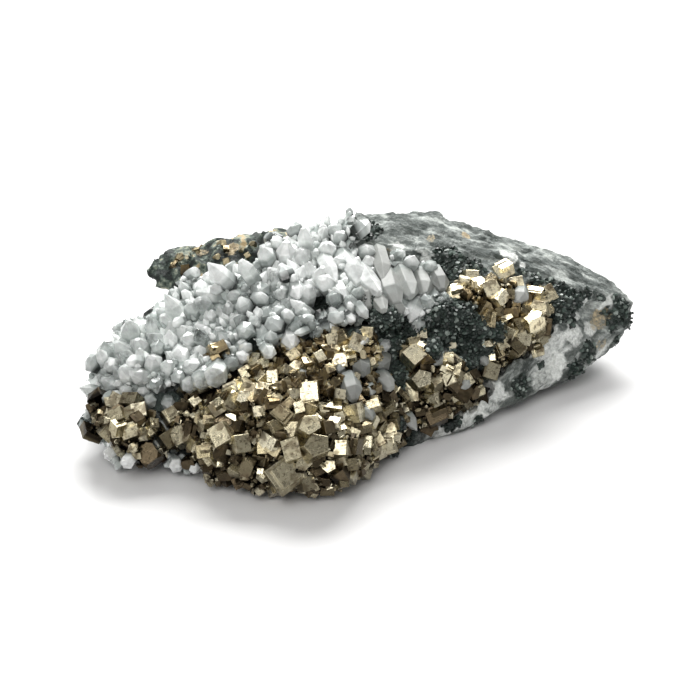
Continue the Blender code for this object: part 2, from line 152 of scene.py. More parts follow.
class Board:
    """The node tree of a material or of the world."""

    def __init__(self, tree):
        self.tree = tree

    def add(self, kind, settings=None, sockets=None, out=0):
        """Adds a node, sets it up, joins its sockets and gives back one of its outputs."""
        node = self.tree.nodes.new(kind)
        for key, value in (settings or {}).items():
            if key == "stops":
                self.set_stops(node.color_ramp, value)
            else:
                setattr(node, key, value)
        self.join(node, sockets or {})
        return Wire(self, node.outputs[out])

    def join(self, node, sockets):
        for key, value in sockets.items():
            if isinstance(value, Wire):
                self.tree.links.new(value.socket, node.inputs[key])
            else:
                node.inputs[key].default_value = value

    def set_stops(self, ramp, stops):
        while len(ramp.elements) < len(stops):
            ramp.elements.new(1.0)
        for element, (place, colour) in zip(ramp.elements, stops):
            element.position = place
            element.color = (*colour, 1.0)

    def maths(self, operation, *values):
        return self.add("ShaderNodeMath", {"operation": operation}, dict(enumerate(values)))

    def ramp(self, share, *stops):
        """A colour that passes through these stops: (place, colour)."""
        return self.add("ShaderNodeValToRGB", {"stops": stops}, {"Fac": share})

    def blend(self, share, first, second):
        """One colour turning into another as share goes from 0 to 1."""
        colours = [value if isinstance(value, Wire) else (*value, 1.0) for value in (first, second)]
        return self.add("ShaderNodeMix", {"data_type": "RGBA"},
                        {0: share, 6: colours[0], 7: colours[1]}, out=2)

    def drawn_out(self, turns, lengths):
        """Object coordinates along turned axes, drawn out so that patterns run along them."""
        place = self.add("ShaderNodeTexCoord", out="Object")
        angles = [math.radians(turn) for turn in turns]
        return self.add("ShaderNodeMapping", {"vector_type": "TEXTURE"},
                        {"Vector": place, "Rotation": angles, "Scale": lengths})

    def fine_noise(self, scale, detail=3.0, roughness=0.5, vector=None):
        """Noise between 0 and 1, its scale in waves for each millimetre."""
        place = vector or self.add("ShaderNodeTexCoord", out="Object")
        return self.add("ShaderNodeTexNoise", {}, {"Vector": place, "Scale": scale / MM,
                                                   "Detail": detail, "Roughness": roughness})

    def grains(self, scale):
        """Distance to the middle of the nearest of many small cells."""
        place = self.add("ShaderNodeTexCoord", out="Object")
        return self.add("ShaderNodeTexVoronoi", {}, {"Vector": place, "Scale": scale / MM})

    def mask(self, value, start, end):
        """0 below start, 1 above end and a straight ramp between them."""
        return self.add("ShaderNodeMapRange", {"clamp": True},
                        {"Value": value, "From Min": start, "From Max": end})

    def painted(self, name):
        """A value that was painted onto the mesh under this name."""
        return self.add("ShaderNodeAttribute", {"attribute_name": name}, out="Fac")

    def bump(self, height, distance, strength=1.0, under=None):
        """A small relief of this height in metres, on top of another one."""
        sockets = {"Height": height, "Distance": distance, "Strength": strength}
        if under:
            sockets["Normal"] = under
        return self.add("ShaderNodeBump", {}, sockets)


def new_finish(name):
    """A material, its board and its Principled shader."""
    made = bpy.data.materials.new(name)
    made.use_nodes = True
    return made, Board(made.node_tree), made.node_tree.nodes["Principled BSDF"]


# %% [markdown]
# ## Table and light
# A mineral seller photographs on a bright white sheet under a big soft lamp. Metal shows what is
# around it, so an even white room would make the cubes look like plaster. They need a bright
# lamp above and behind, and on the viewer's side a dark room with a few pale cards in it: then
# one face of a cube is bright and the next is nearly black. The sheet is a plain plane that just
# turns white, so that the soft shadow still shows, and the room is a world whose brightness
# depends on the direction.

# %% Floor
SHEET_SIDE = 2.4
SHEET_WHITE = (0.68, 0.68, 0.685, 1)


def select_only(*objects):
    bpy.ops.object.select_all(action="DESELECT")
    for each in objects:
        each.select_set(True)
    bpy.context.view_layer.objects.active = objects[0]


bpy.context.view_layer.objects.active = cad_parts["host_rock"]
bpy.ops.object.select_all(action="DESELECT")
bpy.ops.mesh.primitive_plane_add(size=SHEET_SIDE, location=(0, 0, 0))
floor = bpy.context.active_object
floor.name = "floor"
sheet, board, shader = new_finish("white_sheet")
board.join(shader, {"Base Color": SHEET_WHITE, "Roughness": 0.8, "Specular IOR Level": 0.1})
floor.data.materials.append(sheet)
print("floor:", round(floor.dimensions.x, 2), "m across")

# %% Room and lamps
DARK_SIDE, CEILING, BACK_WALL, CARD = 0.03, 0.42, 0.25, 0.50

world = bpy.data.worlds.new("room")
bpy.context.scene.world = world
world.use_nodes = True
room = Board(world.node_tree)
heading = room.add("ShaderNodeTexCoord", out="Generated")
parts = room.add("ShaderNodeSeparateXYZ", {}, {"Vector": heading})
toward_back = Wire(room, parts.socket.node.outputs["Y"])
height = Wire(room, parts.socket.node.outputs["Z"])
clutter = room.add("ShaderNodeTexNoise", {}, {"Vector": heading, "Scale": 2.6, "Detail": 1.0})
overhead = room.mask(height, 0.30, 0.95)
behind = room.mask(toward_back, 0.0, 0.9)
cards = room.mask(clutter, 0.53, 0.57)
room_light = DARK_SIDE + overhead * CEILING + behind * BACK_WALL + cards * CARD
room_tint = room.blend(overhead, (1.0, 0.985, 0.96), (0.98, 0.99, 1.0))
room.join(world.node_tree.nodes["Background"], {"Color": room_tint, "Strength": room_light})


def soft_lamp(name, place, size, watts, tint):
    """A rectangular lamp at a place in millimetres that faces the specimen."""
    data = bpy.data.lights.new(name, "AREA")
    data.shape = "RECTANGLE"
    data.size, data.size_y = size[0] * MM, size[1] * MM
    data.energy = watts
    data.color = tint
    lamp = bpy.data.objects.new(name, data)
    lamp.location = Vector(place) * MM
    lamp.rotation_euler = (AIM - lamp.location).to_track_quat("-Z", "Y").to_euler()
    bpy.context.scene.collection.objects.link(lamp)


soft_lamp("lamp_above", (0, 335, 345), (380, 260), 5.0, (1.0, 0.995, 0.98))
soft_lamp("lamp_front", (-120, -330, 380), (320, 280), 1.35, (1.0, 0.985, 0.96))
bpy.context.scene.view_settings.view_transform = "Standard"
print("lamps:", [each.name for each in bpy.data.objects if each.type == "LIGHT"])

# %% [markdown]
# ## Soft skins of the solids
# The faceted solids are a little coarse to look at, but they are right in place and reach. A
# welded copy, remeshed into small even faces and smoothed, makes a body that crystals can be
# planted on. We keep search trees of the solids and of the skins, to ask what lies under a pixel
# and whether a point is buried in its neighbour.

# %% Skins
SAME_PLACE = 0.000001
NEAR = 2.5 * MM
PROBE = 0.4


def shaped_by(piece, kind, **settings):
    """Adds a modifier with these settings to a piece and applies it."""
    select_only(piece)
    modifier = piece.modifiers.new(kind.title(), kind)
    for key, value in settings.items():
        setattr(modifier, key, value)
    bpy.ops.object.modifier_apply(modifier=modifier.name)
    return piece


def welded_copy(node, name):
    """A copy of a solid whose loose triangles are joined at their corners."""
    piece = bpy.data.objects.new(name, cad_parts[node].data.copy())
    piece.data.name = name
    piece.data.materials.clear()
    bpy.context.scene.collection.objects.link(piece)
    select_only(piece)
    bpy.ops.object.mode_set(mode="EDIT")
    bpy.ops.mesh.select_all(action="SELECT")
    bpy.ops.mesh.remove_doubles(threshold=SAME_PLACE)
    bpy.ops.object.mode_set(mode="OBJECT")
    return piece


def points_of(piece):
    flat = np.empty(len(piece.data.vertices) * 3, np.float32)
    piece.data.vertices.foreach_get("co", flat)
    return flat.reshape(-1, 3)


def normals_of(piece):
    flat = np.empty(len(piece.data.vertices) * 3, np.float32)
    piece.data.vertex_normals.foreach_get("vector", flat)
    return flat.reshape(-1, 3)


def set_points(piece, points):
    piece.data.vertices.foreach_set("co", np.asarray(points, np.float32).ravel())
    piece.data.update()


def search_tree(*pieces):
    corners, faces = [], []
    for piece in pieces:
        start = len(corners)
        corners += [vertex.co.copy() for vertex in piece.data.vertices]
        faces += [[start + index for index in face.vertices] for face in piece.data.polygons]
    return BVHTree.FromPolygons(corners, faces)


def soft_skin(node, name, voxel, rounds, inwards):
    """A smoothed copy of a solid, drawn in a little so that crystals can stand on it."""
    piece = welded_copy(node, name)
    shaped_by(piece, "REMESH", mode="VOXEL", voxel_size=voxel * MM)
    shaped_by(piece, "SMOOTH", factor=0.5, iterations=rounds)
    set_points(piece, points_of(piece) - normals_of(piece) * inwards * MM)
    return piece


MASSES = ["pyrite_front", "pyrite_left", "pyrite_middle", "pyrite_right"]
rock = soft_skin("host_rock", "rock_body", 0.32, 3, 0.0)
crust = soft_skin("quartz_crust", "crust_body", 0.6, 7, 0.35)
cores = {name: soft_skin(name, name + "_core", 0.45, 4, 0.35) for name in MASSES}
solid_tree = search_tree(*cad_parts.values())
core_trees = {name: search_tree(core) for name, core in cores.items()}
print("rock skin:", len(rock.data.polygons), "faces; crust:", len(crust.data.polygons))


def under_pixel(pixel, tree=solid_tree):
    """The point that shows at a pixel, and the way that the surface faces there."""
    point, normal, _, _ = tree.ray_cast(eye, ray_through(pixel))
    return point, normal


def buried(point, tree):
    """Whether a point lies under a skin that it is near to."""
    nearest, normal, _, _ = tree.find_nearest(point, NEAR)
    return nearest is not None and (point - nearest).dot(normal) < 0


# %% [markdown]
# ## Where the rock changes colour
# The chunk is mostly dark green chlorite, and turns grey and milky towards the right. Colour
# that follows the shape is best painted on the mesh: each patch is a pixel of the picture, a
# radius and a strength, laid on the skin and frayed by noise. The far side has no pixels, so its
# patches are places in millimetres. The shader only has to blend the finishes by these masks.

# %% Patches on the rock
PATCHES = {
    "chlorite": [
        ((210, 262), 50, 1.0), ((168, 262), 26, 1.0), ((258, 245), 20, 0.9), ((385, 318), 24, 1.0),
        ((350, 235), 14, 0.9), ((440, 300), 22, 1.0), ((470, 315), 30, 1.0), ((500, 335), 24, 1.0),
        ((440, 335), 26, 1.0), ((565, 305), 17, 1.0), ((490, 360), 18, 1.0), ((588, 350), 10, 0.9),
        ((520, 388), 11, 1.0), ((188, 455), 12, 1.0), ((562, 290), 10, 0.8), ((372, 232), 12, 0.9),
        ((262, 352), 16, 0.8), ((330, 300), 12, 0.8), ((500, 366), 10, 0.8), ((395, 375), 20, 1.0),
        ((450, 262), 18, 0.9), ((478, 270), 12, 0.9), ((420, 262), 12, 0.8), ((618, 340), 6, 0.7),
        ((390, 410), 14, 0.9), ((405, 440), 10, 0.8), ((370, 450), 14, 1.0), ((520, 274), 6, 1.0),
        ((536, 279), 6, 1.0), ((552, 286), 7, 1.0), ((600, 298), 5, 1.0), ((617, 303), 5, 1.0),
        ((450, 424), 8, 0.9), ((430, 430), 6, 0.9), ((478, 420), 6, 0.8), ((588, 293), 6, 1.0),
        ((576, 370), 9, 0.9), ((600, 360), 8, 0.9), ((445, 420), 5, 0.8), ((470, 428), 4, 0.8),
        ((540, 365), 5, 0.7),
    ],
    "milky": [
        ((503, 254), 6, 0.9), ((513, 259), 7, 1.0), ((522, 264), 5, 0.8), ((583, 302), 7, 1.0),
        ((576, 316), 5, 0.9), ((548, 345), 20, 0.6), ((470, 412), 20, 0.7), ((572, 335), 14, 0.6),
        ((440, 428), 16, 0.6), ((497, 392), 12, 0.7), ((555, 362), 14, 0.7), ((400, 248), 20, 0.8),
        ((426, 262), 16, 0.7), ((607, 303), 9, 0.8), ((130, 455), 30, 0.9), ((185, 466), 18, 0.9),
        ((450, 385), 10, 0.7), ((540, 375), 14, 0.5), ((590, 330), 8, 0.6), ((560, 340), 10, 0.6),
    ],
    "tan": [
        ((467, 235), 6, 0.8), ((597, 321), 10, 0.55), ((608, 314), 8, 0.5), ((185, 278), 8, 0.8),
        ((200, 252), 8, 0.6), ((232, 248), 8, 0.7), ((430, 240), 7, 0.5), ((385, 252), 8, 0.5),
        ((600, 345), 8, 0.5),
    ],
}
FAR_PATCHES = {
    "chlorite": [
        ((-14, 19, 8), 7.0, 1.0), ((2, 17, 12), 5.0, 0.9), ((20, 19, 5), 5.0, 0.8),
        ((-22, 12, 2), 6.0, 1.0), ((-31, 4, 2), 6.0, 1.0), ((-10, 19, 2), 5.0, 0.9),
        ((12, 19, 3), 2.0, 0.9), ((33, 12, 8), 2.0, 0.8),
    ],
    "milky": [
        ((11, 18, 8), 2.6, 0.55), ((26, 17, 8), 2.2, 0.5), ((-4, 18, 5), 1.8, 0.5),
        ((32, 14, 5), 2.5, 0.4),
    ],
    "tan": [
        ((-8, 19, 11), 1.4, 0.5), ((14, 19, 13), 1.5, 0.45), ((-20, 17, 12), 1.4, 0.5),
    ],
}
FADE = 0.5
FRAY_SIZE, FRAY = 1.8 * MM, 0.7
GREY_FROM, GREY_OVER = 3.0, 8.0
SLAB_SLOPE, SLAB_FROM, SLAB_OVER = -0.36, 16.0, 2.0
LEDGE_END, LEDGE_FRONT, LEDGE_UNDER = -2 * MM, 8 * MM, 9 * MM


def patch_weights(patches, far_patches, points, fray):
    """How much each point belongs to any of the patches, between 0 and 1."""
    weights = np.zeros(len(points))
    spots = [(under_pixel(pixel)[0], radius / PIXELS_PER_MM * MM, strength)
             for pixel, radius, strength in patches]
    spots += [(Vector(place) * MM, radius * MM, strength) for place, radius, strength in far_patches]
    for middle, radius, strength in spots:
        if middle is None:
            continue
        away = np.linalg.norm(points - np.array(middle), axis=1) / radius
        weights = np.maximum(weights, strength * np.clip((1.0 + FADE / 2 - away + fray) / FADE, 0, 1))
    return weights


def paint(piece, name, values):
    layer = piece.data.attributes.new(name, "FLOAT", "POINT")
    layer.data.foreach_set("value", np.asarray(values, np.float32))


def on_ledge(point):
    """Whether a spot is on the ledge at the back left, above its underside."""
    return point.x < LEDGE_END and point.y > LEDGE_FRONT and point.z > LEDGE_UNDER


rock_points = points_of(rock)
fray = np.array([noise.fractal(Vector(point) / FRAY_SIZE, 1.0, 2.0, 3) for point in rock_points]) * FRAY
masks = {name: patch_weights(PATCHES[name], FAR_PATCHES[name], rock_points, fray) for name in PATCHES}
rightwards = (rock_points[:, 0] / MM - GREY_FROM) / GREY_OVER
upper = ((rock_points[:, 2] - rock_points[:, 0] * SLAB_SLOPE) / MM - SLAB_FROM) / SLAB_OVER
masks["grey"] = np.clip(np.maximum(rightwards, upper) + fray * 0.8, 0, 1) * (1 - masks["chlorite"])
masks["ledge"] = np.array([float(on_ledge(Vector(point))) for point in rock_points])
masks["slab"] = np.clip(upper, 0, 1) * masks["grey"] * (1 - masks["ledge"])
for name, values in masks.items():
    paint(rock, name, values)
print("painted:", {name: round(float(values.mean()), 2) for name, values in masks.items()})

# %% [markdown]
# ## Relief of the rock
# Broken rock has relief at several sizes at once: folds of a few millimetres, flat little breaks
# that meet in sharp edges, the grain of chlorite like coarse sugar, and on the grey slab thin
# layers that run with its length. A displacement texture could do one of these. Moving the
# points in Python lets the painted masks decide which relief goes where.

# %% Move the points of the rock
SLAB_ALONG = Vector((0.92, -0.05, -0.38)).normalized()
SLAB_UP = Vector((0.36, -0.35, 0.86)).normalized()
SLAB_ACROSS = SLAB_UP.cross(SLAB_ALONG)
FOLD_SIZE, FOLD_HEIGHT = 2.4, 0.26
SUGAR_SIZE, SUGAR_HEIGHT = 0.95, 0.34
LAYER_WAVES, LAYER_HEIGHT = (0.16, 0.5, 1.1), 0.34
STILL_UNDER = 1.2
BREAKS = ((2.9, 0.75), (1.3, 0.35))


def broken_faces(place, size):
    """Height of small flat breaks: each cell of space has a plane of its own tilt."""
    seat = noise.voronoi(place / size)[1][0]
    tilt = noise.cell_vector(seat * 9.7) - Vector((0.5, 0.5, 0.5))
    return tilt.dot(place / size - seat)


def rock_relief(point, chlorite, milky, slab, ledge):
    """How far a point of the rock stands out, in millimetres."""
    place = Vector(point) / MM
    folds = noise.fractal(place / FOLD_SIZE, 1.0, 2.1, 3) * FOLD_HEIGHT
    sugar = (0.5 - noise.voronoi(place / SUGAR_SIZE)[0][0]) * SUGAR_HEIGHT * chlorite * (1 - ledge)
    ways = (SLAB_ALONG, SLAB_ACROSS, SLAB_UP)
    layered = Vector([place.dot(way) * waves for way, waves in zip(ways, LAYER_WAVES)])
    layers = noise.fractal(layered * 1.6, 0.8, 2.2, 4) * LAYER_HEIGHT * slab
    breaks = sum(broken_faces(place, size) * height for size, height in BREAKS)
    breaks = breaks * (1 - 0.75 * slab) * (0.6 + 0.4 * milky + 0.7 * ledge)
    return folds * (1 - 0.5 * slab) + sugar + layers + breaks


RELIEF_MASKS = ("chlorite", "milky", "slab", "ledge")
rock_normals = normals_of(rock)
standing = [rock_relief(*each) for each in zip(rock_points, *(masks[name] for name in RELIEF_MASKS))]
off_the_table = np.clip(rock_points[:, 2] / MM / STILL_UNDER, 0, 1)
moved = rock_points + rock_normals * (np.array(standing) * off_the_table * MM)[:, None]
moved[:, 2] = np.maximum(moved[:, 2], 0.0)
set_points(rock, moved)
select_only(rock)
bpy.ops.object.shade_smooth_by_angle(angle=math.radians(32))
rock_tree = search_tree(rock)
print("rock relief:", round(min(standing), 2), "to", round(max(standing), 2), "mm")

# %% [markdown]
# ## Colour of the rock
# Three finishes are blended by the masks: green-black chlorite with pale flecks, grey stone whose
# streaks run with the layers, and milky quartz. The streaks are noise on coordinates that are
# turned to the layers and drawn out along them, one way on the slab and another below it.

# %% Finish of the rock
SLAB_TURNS = (22, 22, -3)
LOWER_TURNS = (0, -24, 34)

finish_rock, board, shader = new_finish("chlorite_rock")
chlorite, milky, grey = board.painted("chlorite"), board.painted("milky"), board.painted("grey")
slab, tan, ledge = board.painted("slab"), board.painted("tan"), board.painted("ledge")
mottle = board.fine_noise(0.45, 4, 0.62)
speckle = board.fine_noise(2.6, 4, 0.65)
flecks = board.grains(2.4)
slab_streaks = board.fine_noise(0.75, 6, 0.68, board.drawn_out(SLAB_TURNS, (3.6, 1.3, 0.8)))
lower_streaks = board.fine_noise(0.60, 6, 0.66, board.drawn_out(LOWER_TURNS, (3.0, 1.0, 0.9)))
green = board.ramp(speckle, (0.30, (0.006, 0.010, 0.009)), (0.52, (0.020, 0.030, 0.026)),
                   (0.68, (0.060, 0.080, 0.070)))
green = board.blend(board.mask(flecks, 0.20, 0.08) * board.mask(mottle, 0.45, 0.6), green,
                    (0.16, 0.20, 0.18))
slate = board.ramp(slab_streaks, (0.36, (0.022, 0.030, 0.027)), (0.45, (0.075, 0.090, 0.083)),
                   (0.53, (0.19, 0.21, 0.20)), (0.62, (0.46, 0.49, 0.465)))
slate = board.blend(board.mask(mottle, 0.55, 0.68) * 0.7, slate, (0.055, 0.066, 0.060))
lower = board.ramp(lower_streaks, (0.38, (0.028, 0.036, 0.032)), (0.46, (0.13, 0.145, 0.135)),
                   (0.54, (0.32, 0.34, 0.325)), (0.63, (0.68, 0.70, 0.68)))
lower = board.blend(board.mask(mottle, 0.50, 0.58) * 0.75, lower, (0.045, 0.055, 0.048))
stone = board.blend(slab, lower, slate)
stone = board.blend(board.mask(speckle, 0.60, 0.72) * 0.45, stone, (0.50, 0.52, 0.49))
stone = board.blend(board.mask(speckle, 0.40, 0.30) * 0.6, stone, (0.03, 0.036, 0.032))
cloud = board.ramp(speckle, (0.28, (0.40, 0.42, 0.40)), (0.62, (0.78, 0.80, 0.775)))
ochre = board.ramp(speckle, (0.3, (0.16, 0.115, 0.06)), (0.7, (0.50, 0.42, 0.27)))
colour = board.blend(board.mask(grey + speckle * 0.5, 0.50, 0.85), green, stone)
colour = board.blend(board.mask(milky + lower_streaks * 0.7 + speckle * 0.3, 0.80, 1.15), colour, cloud)
colour = board.blend(board.mask(chlorite + speckle * 0.8, 0.75, 1.05), colour, green)
blocks = board.fine_noise(0.50, 5, 0.62)
blocky = board.ramp(blocks, (0.43, (0.007, 0.012, 0.010)), (0.50, (0.030, 0.046, 0.037)),
                    (0.545, (0.13, 0.16, 0.13)), (0.59, (0.30, 0.32, 0.25)), (0.62, (0.46, 0.36, 0.21)))
colour = board.blend(ledge, colour, blocky)
colour = board.blend(board.mask(tan + speckle * 0.9, 0.85, 1.1), colour, ochre)
grit = board.bump(board.fine_noise(1.9, 5, 0.68), 0.00028)
grit = board.bump(flecks, 0.00010, 0.7, under=grit)
board.join(shader, {"Base Color": colour, "Roughness": 0.72 - milky * 0.30, "Normal": grit})


def hand_over(piece, finish, node):
    """Gives a piece its finish, hangs it under the root and hides the solid that it stands for."""
    piece.data.materials.append(finish)
    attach(piece, "root")
    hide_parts(node)


hand_over(rock, finish_rock, "host_rock")

# %% [markdown]
# ## The heap of chlorite
# Between the quartz blades and the metal a heap of chlorite grains bulges over the rock. Balls
# that overlap, melted into one skin by a voxel remesh, give its lumpy form, and noise pits it.
# Each ball is given by its pixel, its radius and how far it stands out of the solid.

# %% Heap up the chlorite
LUMPS = [
    ((372, 306), 1.5, 0.2), ((386, 318), 1.8, 0.5), ((402, 331), 2.0, 0.8), ((418, 322), 1.9, 0.8),
    ((438, 312), 1.9, 1.0), ((458, 316), 2.1, 1.1), ((476, 326), 2.1, 0.9), ((495, 333), 1.5, 0.6),
    ((442, 332), 2.1, 1.6), ((432, 350), 1.4, 1.2), ((466, 346), 2.0, 1.4), ((484, 350), 1.4, 0.8),
    ((392, 346), 1.5, 1.4), ((402, 372), 1.1, 0.6), ((396, 392), 1.1, 0.2), ((466, 364), 1.4, 0.8),
    ((356, 338), 1.0, 0.2), ((398, 424), 1.1, 0.2), ((390, 450), 1.0, 0.2), ((558, 308), 1.9, 0.7),
    ((572, 300), 1.4, 0.6),
]


def heap_of_balls(lumps):
    bpy.ops.object.select_all(action="DESELECT")
    balls = []
    for pixel, radius, proud in lumps:
        point, _ = under_pixel(pixel)
        middle = point + (eye - point).normalized() * (proud - radius) * MM
        bpy.ops.mesh.primitive_ico_sphere_add(subdivisions=2, radius=radius * MM, location=middle)
        balls.append(bpy.context.active_object)
    select_only(*balls)
    bpy.ops.object.join()
    heap = bpy.context.active_object
    bpy.ops.object.transform_apply(location=True, rotation=True, scale=True)
    heap.name = heap.data.name = "chlorite_heap"
    shaped_by(heap, "REMESH", mode="VOXEL", voxel_size=0.3 * MM)
    return shaped_by(heap, "SMOOTH", factor=0.5, iterations=3)


heap = heap_of_balls(LUMPS)
heap_points = points_of(heap)
pitted = [(noise.fractal(Vector(point) / (1.3 * MM), 1.0, 2.0, 3) * 0.45
           + 0.2 - noise.voronoi(Vector(point) / (0.8 * MM))[0][0] * 0.4) for point in heap_points]
set_points(heap, heap_points + normals_of(heap) * (np.array(pitted) * MM)[:, None])
for name in masks:
    paint(heap, name, np.full(len(heap_points), 1.0 if name == "chlorite" else 0.0))
heap_tree = search_tree(heap)
hand_over(heap, finish_rock, "host_rock")
print("chlorite heap:", len(LUMPS), "lumps,", len(heap.data.polygons), "faces")

# %% [markdown]
# ## One mesh from many small crystals
# Thousands of crystals are too many to keep as objects. We model a few of them with care, turn
# each into arrays, and lay copies of the arrays into one mesh. Each copy carries a tone, a value
# that is the same all over one crystal, so that no two neighbours look alike, and its height
# above the skin that it stands on, so that a finish can paint shade on what lies in a crevice.

# %% Arrays of a model
Place = namedtuple("Place", "which matrix tone foot up")
LINES_APART = 7.0
TRIES_PER_SPOT = 9


def model_of(piece):
    """The triangles of a modelled crystal as arrays, and the object removed."""
    shaped_by(piece, "TRIANGULATE")
    points = points_of(piece)
    faces = np.array([face.vertices[:] for face in piece.data.polygons])
    normals = np.array([face.normal for face in piece.data.polygons])
    axis = np.argmax(np.abs(normals), axis=1)
    corners = points[faces]
    along = np.take_along_axis(corners, ((axis + 1) % 3)[:, None, None].repeat(3, 1), 2)[:, :, 0]
    across = np.take_along_axis(corners, ((axis + 2) % 3)[:, None, None].repeat(3, 1), 2)[:, :, 0]
    bpy.data.objects.remove(piece)
    return {"points": points, "faces": faces, "lines": np.stack([along, across], -1)}


def join_copies(name, models, places):
    """One mesh with a copy of a model at each place."""
    points, faces, lines, heights, tones = [], [], [], [], []
    start = 0
    for place in places:
        model = models[place.which]
        turned = np.array(place.matrix)
        stood = model["points"] @ turned[:3, :3].T + turned[:3, 3]
        points.append(stood)
        faces.append(model["faces"] + start)
        lines.append(model["lines"] * np.linalg.norm(turned[:3, 0]) / MM + place.tone * LINES_APART)
        heights.append((stood - np.array(place.foot)) @ np.array(place.up) / MM)
        tones.append(np.full(len(stood), place.tone))
        start += len(stood)
    mesh = bpy.data.meshes.new(name)
    mesh.from_pydata(np.concatenate(points).tolist(), [], np.concatenate(faces).tolist())
    flat_lines = np.concatenate(lines).astype(np.float32).ravel()
    mesh.uv_layers.new(name="lines").data.foreach_set("uv", flat_lines)
    piece = bpy.data.objects.new(name, mesh)
    bpy.context.scene.collection.objects.link(piece)
    paint(piece, "tone", np.concatenate(tones))
    paint(piece, "height", np.concatenate(heights))
    print(name, len(places), "copies,", len(mesh.polygons), "triangles")
    return piece


def spread(piece, gap, chance, keep, shares=None):
    """Spots all over a piece, none nearer to another than gap millimetres, more where shares is high."""
    mesh = piece.data
    mesh.calc_loop_triangles()
    triangles = np.array([each.vertices[:] for each in mesh.loop_triangles])
    corners = points_of(piece)[triangles]
    cross = np.cross(corners[:, 1] - corners[:, 0], corners[:, 2] - corners[:, 0])
    areas = np.linalg.norm(cross, axis=1) / 2
    weights = areas if shares is None else areas * shares[triangles].mean(axis=1)
    tries = int(TRIES_PER_SPOT * weights.sum() / (gap * MM) ** 2)
    picked = chance.choice(len(areas), tries, p=weights / weights.sum())
    first, second = chance.random(tries), chance.random(tries)
    over = first + second > 1
    first[over], second[over] = 1 - first[over], 1 - second[over]
    a, b, c = corners[picked, 0], corners[picked, 1], corners[picked, 2]
    tried = a + (b - a) * first[:, None] + (c - a) * second[:, None]
    facing = cross[picked] / (2 * areas[picked])[:, None]
    taken, cells = [], {}
    for point, normal in zip(tried, facing):
        cell = tuple(np.floor(point / (gap * MM)).astype(int))
        near = [other for dx in (-1, 0, 1) for dy in (-1, 0, 1) for dz in (-1, 0, 1)
                for other in cells.get((cell[0] + dx, cell[1] + dy, cell[2] + dz), ())]
        if any(np.sum((point - other) ** 2) < (gap * MM) ** 2 for other in near):
            continue
        if not keep(Vector(point), Vector(normal)):
            continue
        cells.setdefault(cell, []).append(point)
        taken.append((Vector(point), Vector(normal)))
    return taken


# %% [markdown]
# ## A quartz point
# A quartz crystal is a six-sided prism that ends in a pointed cap whose faces are never quite
# equal. Here most are short and blunt like thumbs, and a few are sharp. A cylinder with six sides
# is the prism, and its top face, extruded and drawn together off the middle, is the cap. The
# bottom face is drawn out to a narrow root in the same way, so that no flat end shows. A narrow
# bevel makes the edges of the larger points shine. The smallest are modelled without one.

# %% Model the quartz points
QUARTZ_SHAPES = [
    {"length": 2.2, "cap": 0.66, "off": (0.14, 0.08), "end": 0.16, "taper": 0.94, "wear": 0.018},
    {"length": 2.0, "cap": 0.52, "off": (-0.20, 0.12), "end": 0.26, "taper": 1.0, "wear": 0.022},
    {"length": 2.4, "cap": 0.84, "off": (0.10, -0.18), "end": 0.08, "taper": 0.90, "wear": 0.015},
    {"length": 1.8, "cap": 0.46, "off": (0.22, 0.16), "end": 0.32, "taper": 1.02, "wear": 0.025},
    {"length": 2.1, "cap": 0.62, "off": (-0.14, -0.20), "end": 0.16, "taper": 0.94, "wear": 0.018},
    {"length": 2.4, "cap": 0.78, "off": (0.08, -0.12), "end": 0.07, "taper": 0.92, "wear": 0.015},
    {"length": 2.2, "cap": 0.60, "off": (-0.18, 0.06), "end": 0.12, "taper": 0.96, "wear": 0.015},
]
COMMON = (0, 1, 2, 3, 4)
NARROW_ROOT = 0.45


def new_prism(corners, radius, depth, middle=(0, 0, 0)):
    """A prism along Z, in edit mode."""
    bpy.ops.object.select_all(action="DESELECT")
    bpy.ops.mesh.primitive_cylinder_add(vertices=corners, radius=radius, depth=depth, location=middle)
    piece = bpy.context.active_object
    bpy.ops.object.transform_apply(location=True, rotation=True, scale=True)
    bpy.ops.object.mode_set(mode="EDIT")
    bpy.ops.mesh.select_mode(type="FACE")
    return piece


def select_end(piece, sign=1):
    """In edit mode, leaves only the faces selected that look up, or down where sign is -1."""
    bpy.ops.mesh.select_all(action="DESELECT")
    bpy.ops.object.mode_set(mode="OBJECT")
    for face in piece.data.polygons:
        face.select = face.normal.z * sign > 0.9
    bpy.ops.object.mode_set(mode="EDIT")


def quartz_point(length, cap, off, end, taper, wear):
    """A point of width 1 that grows along Z from a narrow root at 0, in units of its own width."""
    shaft = length - cap - NARROW_ROOT
    piece = new_prism(6, 0.5, shaft, (0, 0, NARROW_ROOT + shaft / 2))
    select_end(piece, -1)
    bpy.ops.mesh.extrude_region_move(TRANSFORM_OT_translate={"value": (0, 0, -NARROW_ROOT)})
    bpy.ops.transform.resize(value=(0.3, 0.3, 1))
    select_end(piece)
    bpy.ops.transform.resize(value=(taper, taper, 1))
    bpy.ops.mesh.extrude_region_move(TRANSFORM_OT_translate={"value": (off[0] * 0.5, off[1] * 0.5, cap)})
    bpy.ops.transform.resize(value=(end, end * 1.5, 1))
    bpy.ops.mesh.select_all(action="SELECT")
    if wear:
        bpy.ops.mesh.bevel(offset=wear, segments=1, affect="EDGES")
    bpy.ops.object.mode_set(mode="OBJECT")
    return piece


quartz_models = [model_of(quartz_point(**shape)) for shape in QUARTZ_SHAPES]
small_quartz_models = [model_of(quartz_point(**dict(shape, wear=0))) for shape in QUARTZ_SHAPES]
quartz_counts = [len(model["faces"]) for model in quartz_models + small_quartz_models]
print("quartz models:", quartz_counts, "triangles")

